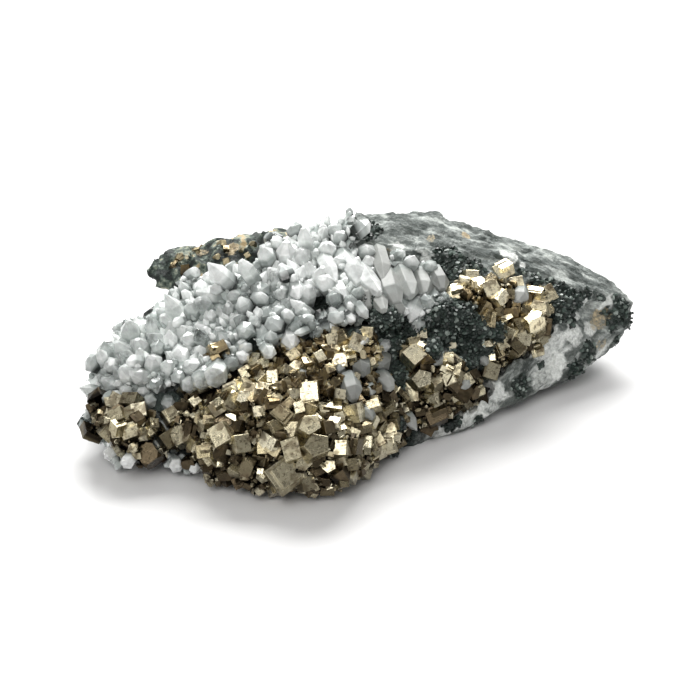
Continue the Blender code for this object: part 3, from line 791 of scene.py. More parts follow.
# %% [markdown]
# ## Large quartz points and blades
# The eye goes to a few crystals: the clear one beside the ledge, the blades that hang down the
# front of the top, and the blunt ends that face the viewer. Each is given by the pixels of its
# foot and tip. The foot is put on the solid under its pixel, the root is sunk below it by a share
# of the width, and the tip is as many millimetres nearer to the viewer as the list says: nearer
# than the foot for a point, and nearer than the solid under the tip for a blade that lies on it.

# %% Place the large quartz
Hero = namedtuple("Hero", "foot_x foot_y tip_x tip_y nearer width which tone")
LARGE_POINTS = [
    (234, 291, 207, 264, 1.1, 2.6, 5, 0.95), (179, 317, 166, 293, 0.8, 2.5, 5, 0.60),
    (249, 286, 241, 261, 0.8, 2.2, 1, 0.60), (131, 342, 126, 321, 1.2, 2.6, 0, 0.50),
    (152, 336, 147, 316, 1.1, 2.0, 2, 0.40), (106, 360, 100, 350, 1.3, 1.7, 0, 0.70),
    (94, 392, 80, 387, 1.1, 1.6, 2, 0.60), (290, 328, 291, 346, 2.3, 2.3, 1, 0.90),
    (264, 342, 272, 356, 2.1, 1.9, 0, 0.55), (216, 372, 212, 383, 2.3, 2.9, 1, 0.35),
    (342, 284, 344, 299, 2.1, 1.9, 3, 0.98), (178, 346, 182, 358, 2.3, 2.4, 1, 0.92),
    (262, 264, 262, 248, 1.2, 2.5, 0, 0.70), (286, 260, 285, 243, 1.2, 2.5, 1, 0.85),
    (205, 306, 199, 298, 2.3, 2.6, 1, 0.40), (304, 284, 300, 298, 2.3, 2.2, 0, 0.95),
    (150, 397, 148, 404, 1.5, 1.9, 0, 0.50), (166, 398, 169, 406, 1.5, 1.8, 1, 0.40),
    (112, 450, 107, 457, 1.3, 2.0, 0, 0.90), (128, 459, 125, 465, 1.2, 1.8, 3, 0.95),
    (174, 462, 177, 468, 1.3, 1.8, 1, 0.90), (192, 467, 196, 473, 1.2, 1.5, 0, 0.85),
    (185, 378, 192, 386, 1.9, 2.2, 3, 0.45), (240, 350, 243, 359, 1.9, 1.8, 3, 0.90),
]
BLADES = [
    (338, 246, 360, 282, 0.9, 2.9, 1, 0.72), (358, 258, 377, 296, 0.9, 2.6, 3, 0.66),
    (362, 276, 369, 306, 0.9, 2.4, 1, 0.48), (384, 264, 394, 303, 1.0, 3.0, 3, 0.22),
    (402, 262, 412, 299, 1.0, 2.9, 1, 0.15), (418, 264, 427, 295, 0.9, 2.5, 3, 0.30),
    (422, 297, 408, 322, 1.2, 2.1, 6, 0.80), (371, 322, 363, 344, 1.1, 1.8, 0, 0.70),
    (346, 308, 352, 325, 1.0, 1.5, 0, 0.65), (361, 303, 367, 318, 0.9, 1.4, 1, 0.60),
    (434, 264, 444, 288, 0.9, 2.3, 1, 0.35), (392, 340, 380, 350, 1.0, 1.5, 0, 0.55),
    (376, 250, 386, 279, 0.9, 2.3, 1, 0.40), (320, 256, 335, 280, 0.9, 2.3, 4, 0.75),
    (378, 286, 382, 310, 0.8, 2.0, 3, 0.44), (394, 296, 400, 314, 0.8, 1.9, 1, 0.40),
]
AMONG_THE_METAL = [
    (384, 350, 380, 368, 2.8, 2.6, 1, 0.15), (386, 372, 389, 388, 2.6, 2.2, 3, 0.15),
    (366, 358, 361, 373, 1.9, 2.4, 1, 0.10), (350, 380, 355, 399, 1.6, 2.5, 1, 0.15),
    (366, 400, 371, 420, 1.7, 2.2, 0, 0.12), (458, 353, 452, 367, 1.6, 2.0, 4, 0.50),
    (524, 292, 519, 303, 1.6, 2.3, 3, 0.90), (412, 414, 416, 430, 1.4, 1.9, 2, 0.70),
    (302, 368, 304, 377, 1.2, 1.4, 0, 0.80), (484, 356, 486, 365, 1.2, 1.4, 0, 0.30),
    (439, 354, 436, 365, 1.4, 1.7, 2, 0.40), (468, 382, 462, 389, 1.2, 1.4, 0, 0.50),
    (374, 384, 372, 396, 1.2, 1.6, 2, 0.35), (343, 362, 338, 372, 1.3, 1.6, 0, 0.45),
]
ROOT = 1.0
ROOT_BACK = 0.3
GREY_TONE = 0.5


def quartz_place(foot, tip, width, which, tone, spin, up, flat=1.0):
    """A model stretched from foot to tip, its hexagon as wide as width and flat times as deep."""
    way = tip - foot
    turn = way.to_track_quat("Z", "Y").to_matrix().to_4x4()
    size = Matrix.Diagonal((width, width * flat, way.length / QUARTZ_SHAPES[which]["length"], 1))
    matrix = Matrix.Translation(foot) @ turn @ Matrix.Rotation(spin, 4, "Z") @ size
    return Place(which, matrix, tone, foot + way.normalized() * ROOT * width, up)


def hero_place(hero, spin, sink, lying):
    """A crystal from its foot to its tip. A lying one has its tip above the solid under the tip."""
    foot, normal = under_pixel((hero.foot_x, hero.foot_y))
    tip_pixel = (hero.tip_x, hero.tip_y)
    beside = under_pixel(tip_pixel)[0] if lying else foot
    tip = eye + ray_through(tip_pixel) * ((beside - eye).length - hero.nearer * MM)
    width = hero.width * MM
    root = foot - (normal * sink + (tip - foot).normalized() * ROOT_BACK) * width
    return quartz_place(root, tip, width, hero.which, hero.tone, spin, (tip - root).normalized())


def seen_from_eye(rows, seed, sink, lying=False):
    chance = np.random.default_rng(seed)
    return [hero_place(Hero(*row), chance.uniform(0, math.tau), sink, lying) for row in rows]


large_points = seen_from_eye(LARGE_POINTS, 1, 0.6)
blades = seen_from_eye(BLADES, 8, 0.46, lying=True)
among_metal = seen_from_eye(AMONG_THE_METAL, 5, 0.6)
print("large quartz:", len(large_points), "points,", len(blades), "blades,",
      len(among_metal), "in the metal")

# %% [markdown]
# ## Planting the crust
# The points crowd each other and lean outwards and a little up. They are planted in two sizes:
# large ones at least one and a half millimetres apart and small ones that fill the gaps. Each
# stands out by a share of its own width, so the crust keeps the reach of its solid, and its root
# is shorter where the solid is thin. A point is left out where its foot would be buried in rock or
# metal, where a large crystal already stands, and in the few holes that show black.

# %% Plant the quartz
GROWTH = Vector((-0.20, -0.16, 0.34))
LEAN = 0.34
FLATTEST = 0.75
ROOTS = (1.0, 0.7, 0.45, 0.3)
COVER = 0.35
OUTLINE_SLACK = 0.5 * MM
DRAWN_IN, HOLE_DEPTH = 0.35, 0.9
SKYLINE = [(60, 400), (76, 386), (92, 350), (110, 322), (148, 314), (164, 294), (168, 284), (196, 262),
           (234, 261), (256, 236), (295, 223), (325, 214), (346, 217), (403, 216), (440, 214)]
WHITE_SPOT, WHITEST = ((318, 240), 60), 0.65
BLADE_SPOTS = [((354, 276), 16), ((388, 288), 17), ((410, 288), 17), ((428, 286), 10)]
HOLES = [((320, 305), 15), ((242, 331), 6), ((156, 357), 8), ((313, 268), 4), ((256, 352), 7),
         ((218, 354), 11)]


def far_from(point, spots):
    """Whether a point shows outside all of these spots of the picture."""
    across, down = pixel_of(point)
    return all(math.hypot(across - x, down - y) > radius for (x, y), radius in spots)


def above_skyline(point):
    """Whether a point shows above the upper edge of the crust, which runs along the ledge too."""
    across, down = pixel_of(point)
    return down < np.interp(across, *zip(*SKYLINE))


def taken_by(heroes, point, share):
    """Whether a point is inside one of the large crystals that are placed one by one."""
    for place in heroes:
        start = place.matrix.translation
        axis = place.matrix.col[2].to_3d() * QUARTZ_SHAPES[place.which]["length"]
        along = min(1.0, max(0.0, (point - start).dot(axis) / axis.length_squared))
        if (point - start - axis * along).length < share * place.matrix.col[0].to_3d().length:
            return True
    return False


def clear_of_others(point, normal):
    outside = point + normal * PROBE * MM
    if buried(outside, rock_tree) or any(buried(outside, tree) for tree in core_trees.values()):
        return False
    return far_from(point, HOLES) and not taken_by(large_points + blades, outside, 0.50)


def sunk(point, depth):
    """Whether a point is inside one of the solids and this deep."""
    nearest, normal, _, _ = solid_tree.find_nearest(point)
    return (point - nearest).dot(normal) < -depth


def plant_quartz(gap, widths, rises, seed, bare=()):
    """Points of these widths and rises all over the crust, apart from the bare spots of the picture."""
    chance = np.random.default_rng(seed)
    places = []
    for point, normal in spread(crust, gap, chance, clear_of_others):
        way = (normal + GROWTH + Vector(chance.uniform(-LEAN, LEAN, 3))).normalized()
        width = chance.uniform(*widths) * MM
        foot = point - way * ROOTS[-1] * width
        for share in ROOTS:
            if sunk(point - way * share * width, COVER * width):
                foot = point - way * share * width
                break
        tip = point + way * chance.uniform(*rises) * width
        within = tip + (AIM - tip).normalized() * OUTLINE_SLACK
        if under_pixel(pixel_of(within))[0] is None or above_skyline(tip) or not sunk(foot, 0):
            continue
        if tip.z < 0.6 * width or not far_from(point, bare):
            continue
        which = int(chance.choice(COMMON))
        tone = float(chance.random())
        if not far_from(point, [WHITE_SPOT]):
            tone = WHITEST + tone * (1 - WHITEST)
        places.append(quartz_place(foot, tip, width, which, tone, chance.uniform(0, math.tau), normal,
                                   chance.uniform(FLATTEST, 1.0)))
    return places


large_quartz = plant_quartz(1.50, (1.5, 2.7), (0.50, 0.95), 3, BLADE_SPOTS)
small_quartz = plant_quartz(0.90, (0.7, 1.3), (0.40, 1.10), 4)
white_blades = [blade for blade in blades if blade.tone > GREY_TONE]
grey_blades = [blade for blade in blades if blade.tone <= GREY_TONE]
points_sharp = join_copies("quartz_large_points", quartz_models, large_points + white_blades)
points_grey = join_copies("quartz_grey_points", quartz_models, among_metal + grey_blades)
points_large = join_copies("quartz_points", quartz_models, large_quartz)
points_small = join_copies("quartz_small_points", small_quartz_models, small_quartz)
crust_points = points_of(crust)
# In the holes the crust is drawn in deeper; further down it is also painted near black, as painted shade.
open_spots = np.array([0.0 if far_from(Vector(point), HOLES) else 1.0 for point in crust_points])
set_points(crust, crust_points - normals_of(crust) * ((DRAWN_IN + HOLE_DEPTH * open_spots) * MM)[:, None])

# %% [markdown]
# ## Clear and milky quartz
# Quartz is clear at the tip and clouded at the foot by tiny bubbles, in veils that cut across the
# crystal. Two Principled shaders make the two states, one with plain transmission and one that
# scatters light below its surface, and a Mix Shader sets the share of each from the tone of the
# crystal, the height above the crust and the veils. The milky colour is whiter towards the tip as
# painted light, and darker towards the foot and near black in the crust's holes as painted shade.
# The grey crystals have duller faces.

# %% Finish of the quartz
def quartz_finish(name, cloudiness, grey=0.0):
    """Clear and milky quartz in one finish, milkier with more cloudiness. Grey makes it dark and dull."""
    made, board, clear = new_finish(name)
    tone, height = board.painted("tone"), board.painted("height")
    veils = board.fine_noise(0.55, 5, 0.62)
    wisps = board.fine_noise(1.9, 3, 0.6)
    relief = board.bump(board.fine_noise(1.6, 3, 0.55), 0.00003, 0.5)
    gloss = 0.03 + grey * 0.40 + board.mask(wisps, 0.45, 0.70) * 0.12
    board.join(clear, {"Base Color": (0.90, 0.93, 0.915, 1), "Roughness": gloss, "Normal": relief,
                       "Transmission Weight": 1.0, "IOR": 1.54})
    milk = board.ramp(veils * 0.5 + tone * 0.40 + 0.05, (0.30, (0.67, 0.73, 0.71)),
                      (0.50, (0.86, 0.91, 0.885)), (0.66, (0.96, 0.985, 0.975)))
    # Whiter towards the tip: painted light on the tips.
    milk = board.blend(board.mask(height, 0.5, 1.6) * 0.5, milk, (0.96, 0.985, 0.98))
    milk = board.blend(grey, milk, (0.21, 0.215, 0.20))
    # Darker grey-green towards the foot, and near black well below the skin: painted shade at the feet of
    # the points and in the holes of the crust.
    milk = board.blend(board.mask(height, 0.30, -0.35) * 0.68, milk, (0.19, 0.22, 0.21))
    milk = board.blend(board.mask(height, -0.8, -1.6), milk, (0.010, 0.014, 0.012))
    milky = board.add("ShaderNodeBsdfPrincipled", {}, {
        "Base Color": milk, "Roughness": gloss * 1.4 + 0.06, "Normal": relief, "IOR": 1.54,
        "Subsurface Weight": 0.25, "Subsurface Radius": (1.0, 1.0, 1.0), "Subsurface Scale": 0.0010})
    share = cloudiness + tone * 0.55 + (veils - 0.5) * 0.9 + board.mask(height, 1.2, -0.2) * 0.25
    states = {0: share.clipped(), 1: Wire(board, clear.outputs[0]), 2: milky}
    mixed = board.add("ShaderNodeMixShader", {}, states)
    board.join(made.node_tree.nodes["Material Output"], {"Surface": mixed})
    return made


finish_points = quartz_finish("quartz", 0.12)
finish_small_points = quartz_finish("quartz_small", 0.24)
finish_grey_points = quartz_finish("quartz_grey", 0.50, 0.86)
finish_crust = quartz_finish("quartz_crust_body", 1.2)
# A height just below the skin makes the quartz finish paint the crust body a darker shade between the
# points, and a height far below it paints the holes near black: painted shade.
paint(crust, "tone", np.full(len(crust.data.vertices), 0.1))
paint(crust, "height", -0.05 - 2.0 * open_spots)
for piece, finish in ((points_sharp, finish_points), (points_large, finish_points),
                      (points_grey, finish_grey_points), (points_small, finish_small_points),
                      (crust, finish_crust)):
    hand_over(piece, finish, "quartz_crust")

# %% [markdown]
# ## A pyrite cube
# Pyrite grows as cubes with fine lines ruled across each face, turned by a quarter from one face
# to the next. We need a plain one, a flat one, one with a step, one with its corners cut, a
# pair grown through each other, and two crooked blocks with uneven sides. Their narrow bevels
# make the edges shine.

# %% Model the pyrite cubes
def new_cube(sides):
    bpy.ops.object.select_all(action="DESELECT")
    bpy.ops.mesh.primitive_cube_add(size=1)
    piece = bpy.context.active_object
    bpy.ops.object.mode_set(mode="EDIT")
    bpy.ops.mesh.select_mode(type="FACE")
    bpy.ops.mesh.select_all(action="SELECT")
    bpy.ops.transform.resize(value=sides)
    return piece


def bevelled(piece, width):
    bpy.ops.mesh.select_all(action="SELECT")
    bpy.ops.mesh.bevel(offset=width, segments=1, affect="EDGES")
    bpy.ops.object.mode_set(mode="OBJECT")
    return piece


def stepped_cube():
    piece = new_cube((1, 1, 0.9))
    for sign in (1, -1):
        select_end(piece, sign)
        bpy.ops.mesh.inset(thickness=0.13, depth=0)
        bpy.ops.mesh.extrude_region_move(TRANSFORM_OT_translate={"value": (0, 0, 0.08 * sign)})
        bpy.ops.transform.translate(value=(0.06, 0.05 * sign, 0))
    return bevelled(piece, 0.014)


def clipped_cube():
    piece = new_cube((1, 1, 1))
    bpy.ops.mesh.select_all(action="SELECT")
    bpy.ops.mesh.bevel(offset=0.24, segments=1, affect="VERTICES")
    return bevelled(piece, 0.012)


def skewed_block():
    """A cube whose upper face is drawn in, turned and shifted, so that no side is square."""
    piece = new_cube((1, 0.95, 0.9))
    select_end(piece)
    bpy.ops.transform.resize(value=(0.72, 0.86, 1))
    bpy.ops.transform.rotate(value=math.radians(14), orient_axis="Z", center_override=(0, 0, 0))
    bpy.ops.transform.translate(value=(0.07, -0.05, 0))
    return bevelled(piece, 0.012)


def five_sided_block():
    """A short block with five sides, the other shape that the faces of pyrite take."""
    piece = new_prism(5, 0.6, 0.8)
    select_end(piece)
    bpy.ops.transform.resize(value=(0.84, 0.7, 1))
    bpy.ops.transform.translate(value=(0.04, 0.06, 0))
    return bevelled(piece, 0.012)


def twin_cube():
    piece = new_cube((1, 0.94, 0.9))
    bpy.ops.mesh.duplicate()
    bpy.ops.transform.rotate(value=math.radians(38), orient_axis="X", center_override=(0, 0, 0))
    bpy.ops.transform.resize(value=(0.8, 0.82, 0.84))
    bpy.ops.transform.translate(value=(0.22, 0.1, 0.16))
    return bevelled(piece, 0.014)


PLAIN, FLAT, STEPPED, CLIPPED, TWIN, SKEWED, FIVE = range(7)
cube_models = [model_of(bevelled(new_cube(sides), 0.014)) for sides in ((1, 1, 1), (1, 1.15, 0.55))]
cube_models += [model_of(make()) for make in (stepped_cube, clipped_cube, twin_cube, skewed_block,
                                              five_sided_block)]
grain_models = [model_of(bevelled(new_cube(sides), 0.05)) for sides in ((1, 1, 1), (1, 0.8, 1.2))]
print("cube models:", [len(model["faces"]) for model in cube_models], "triangles")

# %% [markdown]
# ## The large cubes
# The cubes that show as whole faces are placed one by one: the pixel of the middle, the edge in
# millimetres, and how the face that looks at the viewer is turned to the right, tilted up and
# rolled, in degrees.

# %% Place the large cubes
Cube = namedtuple("Cube", "across down edge right up roll which tone")
LARGE_CUBES = {
    "pyrite_front": [
        (291, 431, 2.4, -16, 14, 12, SKEWED, 0.40), (309, 429, 2.9, 10, 16, 34, FIVE, 0.30),
        (293, 449, 3.0, -20, 0, 28, SKEWED, 0.35), (314, 448, 3.3, 16, 4, 20, FIVE, 0.40),
        (304, 463, 2.3, 2, -10, 42, FIVE, 0.35), (283, 474, 3.7, 12, -4, 36, STEPPED, 0.35),
        (274, 490, 1.3, 20, 21, 10, PLAIN, 0.1), (221, 436, 3.0, -22, 8, 42, SKEWED, 0.3),
        (238, 444, 2.6, 20, 5, 20, SKEWED, 0.35), (273, 428, 1.8, 28, 10, 24, STEPPED, 0.5),
        (314, 393, 1.6, 24, 11, 8, FLAT, 0.5), (340, 448, 2.1, -10, 8, 12, SKEWED, 0.3),
        (205, 452, 1.7, -18, 7, 6, TWIN, 0.5), (184, 436, 2.3, -26, 13, 24, CLIPPED, 0.35),
        (216, 410, 1.8, 12, 17, 30, TWIN, 0.3), (246, 374, 1.9, -18, 15, 44, SKEWED, 0.3),
        (262, 366, 1.7, 12, 19, 12, FIVE, 0.2), (252, 392, 1.6, -8, 18, 30, CLIPPED, 0.2),
        (349, 349, 2.0, -12, 17, 22, TWIN, 0.1), (332, 342, 1.7, 14, 19, 8, CLIPPED, 0.2),
        (306, 484, 1.7, 24, 6, 14, PLAIN, 0.4), (330, 468, 1.8, -8, 5, 30, FIVE, 0.3),
        (342, 482, 1.5, 14, 4, 20, SKEWED, 0.5), (362, 428, 1.7, 18, 12, 16, TWIN, 0.6),
        (378, 440, 1.5, -10, 8, 30, FLAT, 0.4), (240, 482, 1.5, -14, -3, 26, TWIN, 0.9),
        (322, 376, 1.3, 18, 15, 40, PLAIN, 0.9), (256, 412, 1.6, 8, 12, 20, SKEWED, 0.1),
        (213, 350, 1.3, 12, 14, 10, TWIN, 0.6), (222, 348, 1.4, -14, 20, 30, PLAIN, 0.7),
        (226, 357, 1.2, 10, 8, 44, SKEWED, 0.5), (216, 360, 1.3, -8, 12, 20, CLIPPED, 0.7),
        (209, 357, 1.0, 20, 10, 10, PLAIN, 0.8), (184, 404, 1.4, 10, 20, 20, SKEWED, 0.3),
        (196, 402, 1.2, -12, 22, 40, PLAIN, 0.2), (350, 452, 1.6, 14, 6, 30, FIVE, 0.2),
        (262, 448, 1.7, -8, 4, 14, SKEWED, 0.5), (322, 408, 1.6, 10, 10, 26, SKEWED, 0.3),
        (310, 393, 2.2, -14, 14, 8, FLAT, 0.15), (243, 400, 2.0, 10, 16, 36, FIVE, 0.05),
        (272, 378, 1.8, -10, 20, 20, SKEWED, 0.05), (286, 386, 1.7, 16, 12, 30, CLIPPED, 0.60),
        (296, 368, 1.6, -12, 18, 14, FIVE, 0.10), (318, 358, 1.6, 14, 20, 40, SKEWED, 0.0),
        (340, 362, 1.7, -6, 16, 10, CLIPPED, 0.05), (334, 384, 1.6, 18, 12, 26, FIVE, 0.70),
        (300, 408, 1.7, -18, 10, 30, SKEWED, 0.15), (270, 404, 1.6, 12, 14, 6, TWIN, 0.75),
        (231, 420, 1.7, -10, 12, 22, SKEWED, 0.10), (338, 420, 1.8, 10, 10, 40, FIVE, 0.20),
    ],
    "pyrite_left": [
        (150, 455, 2.4, -16, 11, 34, CLIPPED, 0.85), (132, 432, 2.0, -24, 14, 16, TWIN, 0.3),
        (168, 440, 2.0, 16, 10, 30, PLAIN, 0.6), (140, 412, 1.8, -12, 20, 8, PLAIN, 0.1),
        (170, 416, 1.7, 12, 17, 26, STEPPED, 0.4), (118, 416, 1.6, -22, 17, 20, PLAIN, 0.4),
    ],
    "pyrite_middle": [
        (418, 333, 2.0, 16, 14, 16, SKEWED, 0.1), (413, 357, 2.2, 12, 24, 40, PLAIN, 0.2),
        (414, 345, 1.6, 26, 12, 10, FLAT, 0.4), (420, 381, 2.7, 14, 5, 18, FIVE, 0.15),
        (411, 392, 2.1, -16, 2, 8, FLAT, 0.3), (448, 378, 1.6, 8, 13, 24, FLAT, 0.2),
        (466, 381, 1.5, 12, 15, 30, PLAIN, 0.3), (437, 408, 1.6, 14, -4, 32, SKEWED, 0.2),
        (392, 408, 1.3, 14, 20, 12, PLAIN, 0.0), (404, 410, 1.2, -12, 21, 30, PLAIN, 0.0),
        (450, 346, 1.3, 14, 21, 14, CLIPPED, 0.0), (455, 396, 1.5, 12, 9, 30, TWIN, 0.3),
        (390, 430, 1.7, -10, 10, 20, STEPPED, 0.4), (478, 392, 1.3, 10, 13, 20, TWIN, 0.3),
    ],
    "pyrite_right": [
        (469, 278, 2.3, 14, 8, 12, SKEWED, 0.1), (502, 273, 2.2, 12, 24, 30, TWIN, 0.2),
        (490, 290, 2.0, 12, 17, 24, CLIPPED, 0.1), (456, 294, 2.0, -14, 15, 18, TWIN, 0.2),
        (538, 310, 2.8, -4, -4, 24, FIVE, 0.2), (521, 335, 2.5, 12, -6, 6, SKEWED, 0.2),
        (502, 342, 1.6, 14, 10, 24, FLAT, 0.3), (489, 371, 2.0, 20, 4, -14, PLAIN, 0.3),
        (491, 357, 1.3, -12, 12, 12, PLAIN, 0.2), (548, 294, 1.8, 14, 13, 30, FLAT, 0.3),
        (536, 352, 1.5, 10, 11, 20, TWIN, 0.3), (507, 316, 1.3, -8, 11, 30, PLAIN, 0.3),
        (541, 336, 1.9, 24, 8, 34, FLAT, 0.3), (516, 285, 1.7, 8, 18, 12, PLAIN, 0.1),
    ],
}
SHOWN = 0.30
LOWEST = 0.8
FACE_HEIGHT = 0.6


def facing_place(row, tree=solid_tree):
    """A cube that lies on the solid under its pixel with one face turned to the viewer."""
    cube = Cube(*row)
    point = under_pixel((cube.across, cube.down), tree)[0]
    edge = cube.edge * MM
    to_eye = (eye - point).normalized()
    look = to_eye.to_track_quat("Z", "Y").to_matrix().to_4x4()
    turn = Matrix.Identity(4)
    for angle, axis in ((cube.right, "Y"), (-cube.up, "X"), (cube.roll, "Z")):
        turn = turn @ Matrix.Rotation(math.radians(angle), 4, axis)
    middle = point - to_eye * edge * (0.5 - SHOWN)
    middle.z = max(middle.z, LOWEST * edge)
    matrix = Matrix.Translation(middle) @ look @ turn @ Matrix.Scale(edge, 4)
    return Place(cube.which, matrix, cube.tone, point - to_eye * edge * FACE_HEIGHT, to_eye)


large_cubes = {name: [facing_place(row) for row in rows] for name, rows in LARGE_CUBES.items()}
print("large cubes:", {name: len(cubes) for name, cubes in large_cubes.items()})

# %% [markdown]
# ## The pyrite masses
# Each mass is a core that is covered three times: cubes of one or two millimetres, smaller
# ones between them, and grains that fill what is left. Somewhat more than half of them lie with a
# face outwards, as cobbles do, and the others turn any way. The core is drawn in once they stand,
# and its near-black colour is painted shade, so that deep gaps between them stay black.

# %% Plant the cubes
COBBLED, WOBBLE = 0.55, 0.30
PROUD = 1.2 * MM
OWN_ROOM = 0.62
CORE_DEPTH = 0.5
CENTRE_OFF_TABLE = 0.9
UNEVEN = ((0.6, 1.0), (0.7, 1.0))
MIX = (PLAIN, FLAT, STEPPED, CLIPPED, TWIN, TWIN, SKEWED, SKEWED, FIVE)


def turned_any_way(chance):
    way = Vector(chance.normal(size=3)).normalized()
    return Matrix.Rotation(chance.uniform(0, math.tau), 4, way)


def turned_outwards(normal, chance):
    """A turn that lays a face more or less along the surface, the way cobbles lie."""
    way = (normal + Vector(chance.normal(size=3)) * WOBBLE).normalized()
    spin = Matrix.Rotation(chance.uniform(0, math.tau), 4, "Z")
    return way.to_track_quat("Z", "Y").to_matrix().to_4x4() @ spin


def plant_cubes(core, gap, sizes, sink, models, seed, heroes=(), bias=1.6):
    """Places all over a core. A higher bias makes small ones more common within the sizes."""
    chance = np.random.default_rng(seed)

    def in_the_open(point, normal):
        outside = point + normal * PROBE * MM
        if buried(outside, rock_tree) or buried(outside, crust_tree):
            return False
        if buried(point + normal * 0.2 * MM, heap_tree):
            return False
        if taken_by(among_metal, point + normal * 0.5 * MM, 0.45):
            return False
        return all((point - hero.matrix.translation).length > OWN_ROOM * hero.matrix.col[0].to_3d().length
                   for hero in heroes)

    places = []
    for point, normal in spread(core, gap, chance, in_the_open):
        edge = (sizes[0] + (sizes[1] - sizes[0]) * chance.random() ** bias) * MM
        centre = point + normal * edge * (0.5 - sink)
        centre.z = max(centre.z, CENTRE_OFF_TABLE * edge)
        if edge > PROUD and under_pixel(pixel_of(centre + normal * edge / 2))[0] is None:
            edge = PROUD / 2
        turn = turned_outwards(normal, chance) if chance.random() < COBBLED else turned_any_way(chance)
        deep, high = [edge * chance.uniform(*shares) for shares in UNEVEN]
        size = Matrix.Diagonal((edge, deep, high, 1))
        matrix = Matrix.Translation(centre) @ turn @ size
        which = int(chance.choice(MIX)) if models is cube_models else int(chance.integers(len(models)))
        places.append(Place(which, matrix, float(chance.random()), point, normal))
    return places


crust_tree = search_tree(crust)
masses, grains = {}, {}
for number, (name, core) in enumerate(cores.items()):
    heroes = large_cubes[name]
    cubes = plant_cubes(core, 1.30, (1.1, 2.4), 0.45, cube_models, 20 + number, heroes, 1.3)
    cubes += plant_cubes(core, 0.70, (0.4, 1.1), 0.35, cube_models, 30 + number, heroes)
    masses[name] = join_copies(name + "_cubes", cube_models, heroes + cubes)
    grains[name] = join_copies(name + "_grains", grain_models,
                               plant_cubes(core, 0.50, (0.22, 0.60), 0.4, grain_models, 40 + number))
    set_points(core, points_of(core) - normals_of(core) * CORE_DEPTH * MM)

# %% Finish of the pyrite
def pyrite_finish(name, dull):
    """Pale brassy metal with ruled lines and brown tarnish, with painted light on its upper parts and
    painted shade low down and in its crevices. A higher dull makes it rougher.
    """
    made, board, shader = new_finish(name)
    tone, height = board.painted("tone"), board.painted("height")
    uv = board.add("ShaderNodeUVMap", {"uv_map": "lines"})
    squeezed = board.add("ShaderNodeMapping", {}, {"Vector": uv, "Scale": (0.10, 3.6, 1.0)})
    ruled = board.add("ShaderNodeTexNoise", {}, {"Vector": squeezed, "Scale": 1.0, "Detail": 3.0})
    place = board.add("ShaderNodeTexCoord", out="Object")
    level = board.add("ShaderNodeSeparateXYZ", {}, {"Vector": place}, out="Z")
    tarnish_and_sunlit_patches = board.fine_noise(0.55, 5, 0.62)
    blotches = board.fine_noise(1.5, 5, 0.70)
    pits = board.fine_noise(3.2, 3, 0.6)
    metal = board.ramp(tone, (0.0, (0.78, 0.73, 0.56)), (0.30, (0.53, 0.485, 0.345)),
                       (0.50, (0.27, 0.235, 0.15)), (0.72, (0.066, 0.052, 0.032)))
    # Higher up, in noise patches, the metal turns a brighter gold: painted light on the upper, lit parts
    # of the masses. The same noise also places the brown tarnish.
    painted_sunlit_gold = board.ramp(tone, (0.0, (0.88, 0.80, 0.58)), (0.45, (0.58, 0.50, 0.32)),
                      (0.75, (0.16, 0.12, 0.06)))
    metal = board.blend(board.mask(level, 0.0085, 0.0125) * board.mask(tarnish_and_sunlit_patches, 0.36, 0.50), metal, painted_sunlit_gold)
    metal = board.blend(board.mask(tarnish_and_sunlit_patches, 0.53, 0.62) * 0.75, metal, (0.13, 0.10, 0.06))
    lined = ruled * board.mask(blotches, 0.42, 0.55)
    metal = board.blend(board.mask(lined, 0.50, 0.58) * 0.65, metal, (0.09, 0.072, 0.048))
    metal = board.blend(board.mask(blotches, 0.575, 0.64) * 0.7, metal, (0.08, 0.058, 0.038))
    # Darker brown near the table: painted shade on the lowest parts of the masses.
    metal = board.blend(board.mask(level, 0.0045, 0.0005) * 0.5, metal, (0.10, 0.075, 0.05))
    # Near black where a surface lies low against its foot: painted shade in the crevices between the
    # cubes.
    metal = board.blend(board.mask(height, 0.28, -0.25) * 0.93, metal, (0.012, 0.009, 0.006))
    gloss = 0.24 + dull + board.mask(tarnish_and_sunlit_patches, 0.4, 0.75) * 0.18 + board.mask(blotches, 0.5, 0.7) * 0.12
    relief = board.bump(lined, 0.00003, 0.7)
    relief = board.bump(pits, 0.000012, 0.5, under=relief)
    board.join(shader, {"Base Color": metal, "Metallic": 1.0, "Roughness": gloss, "Normal": relief})
    return made


finish_cubes = pyrite_finish("pyrite", 0.0)
finish_grains = pyrite_finish("pyrite_grains", 0.06)
for name in MASSES:
    core = cores[name]
    # The cores take the darkest tone and a low height, so the finish paints them near black: painted
    # shade in the gaps between the cubes.
    paint(core, "tone", np.full(len(core.data.vertices), 0.95))
    paint(core, "height", np.full(len(core.data.vertices), -0.6))
    core.data.uv_layers.new(name="lines")
    for piece, finish in ((core, finish_grains), (masses[name], finish_cubes),
                          (grains[name], finish_grains)):
        hand_over(piece, finish, name)

# %% [markdown]
# ## Grains on the rock
# Chlorite is a heap of tiny dark plates, some of which catch the light. The ledge at the back is
# sown with small tan cubes, and the ten larger ones on it have their pixels. These are real meshes
# too, because bump alone leaves the outline and the shadows smooth. A plate is a thin cylinder with
# six sides, drawn in at the top, and the painted masks say where the plates lie.

# %% Plates of chlorite
def chlorite_plate():
    piece = new_prism(6, 0.5, 0.32)
    select_end(piece)
    bpy.ops.transform.resize(value=(0.7, 0.8, 1))
    bpy.ops.transform.translate(value=(0.08, 0, 0))
    bpy.ops.object.mode_set(mode="OBJECT")
    return piece


plate_models = [model_of(chlorite_plate())]
SOWN_ABOVE = 0.5 * MM
RAISED = 0.12
OFF_TABLE = 0.7


def above_table(point, normal):
    return point.z > SOWN_ABOVE


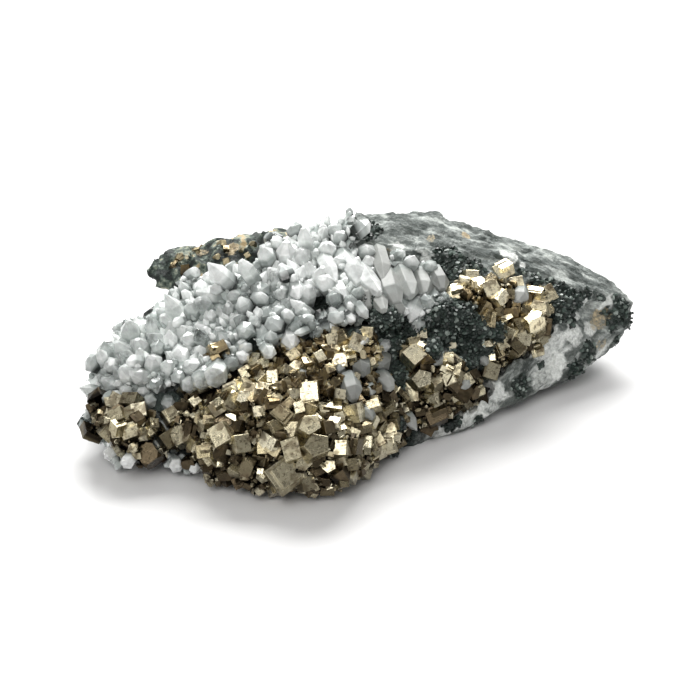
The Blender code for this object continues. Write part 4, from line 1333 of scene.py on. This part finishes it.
def sow(name, piece, gap, sizes, shares, models, seed):
    """Small crystals strewn over a piece, turned any way, where shares is high."""
    chance = np.random.default_rng(seed)
    places = []
    for point, normal in spread(piece, gap, chance, above_table, shares):
        size = chance.uniform(*sizes) * MM
        centre = point + normal * size * RAISED
        centre.z = max(centre.z, OFF_TABLE * size)
        matrix = Matrix.Translation(centre) @ turned_any_way(chance) @ Matrix.Scale(size, 4)
        which = int(chance.integers(len(models)))
        places.append(Place(which, matrix, float(chance.random()), point, normal))
    return join_copies(name, models, places)


plated = np.clip(masks["chlorite"] * 1.6 - 0.6, 0, 1) * (1 - masks["ledge"])
plates = sow("chlorite_plates", rock, 0.42, (0.35, 0.85), plated, plate_models, 61)
heap_plates = sow("heap_plates", heap, 0.38, (0.35, 0.80), None, plate_models, 64)

LEDGE_CUBES = [
    (186, 271, 1.6, -24, 22, 20, SKEWED, 0.85), (179, 259, 1.3, 22, 26, 30, FIVE, 0.55),
    (196, 252, 0.9, -20, 28, 10, TWIN, 0.50), (217, 257, 0.8, 26, 12, 40, SKEWED, 0.45),
    (227, 262, 0.8, -22, 20, 16, PLAIN, 0.50), (243, 250, 0.9, 20, 26, 26, FIVE, 0.40),
    (248, 256, 0.7, -18, 24, 36, PLAIN, 0.45), (222, 244, 1.0, 22, 30, 12, SKEWED, 0.55),
    (253, 245, 0.9, -24, 28, 30, FIVE, 0.50), (174, 266, 0.9, 20, 22, 44, TWIN, 0.65),
]
large_ledge_cubes = join_copies("ledge_large_cubes", cube_models,
                                [facing_place(row, rock_tree) for row in LEDGE_CUBES])
ledge_cubes = sow("ledge_cubes", rock, 3.2, (0.4, 0.9), masks["ledge"], cube_models, 62)

# %% Finish of the chlorite plates
finish_plates, board, shader = new_finish("chlorite_plates")
tone, height = board.painted("tone"), board.painted("height")
flake = board.ramp(tone, (0.0, (0.008, 0.013, 0.010)), (0.6, (0.022, 0.035, 0.029)),
                   (0.84, (0.060, 0.085, 0.072)), (0.93, (0.27, 0.31, 0.285)))
# Near black where a plate lies low: painted shade between the plates.
flake = board.blend(board.mask(height, 0.15, -0.15) * 0.8, flake, (0.004, 0.006, 0.005))
grit = board.bump(board.fine_noise(4.0), 0.00005)
board.join(shader, {"Base Color": flake, "Roughness": 0.42, "Normal": grit})
hand_over(plates, finish_plates, "host_rock")
hand_over(heap_plates, finish_plates, "host_rock")
hand_over(large_ledge_cubes, finish_grains, "host_rock")
hand_over(ledge_cubes, finish_grains, "host_rock")
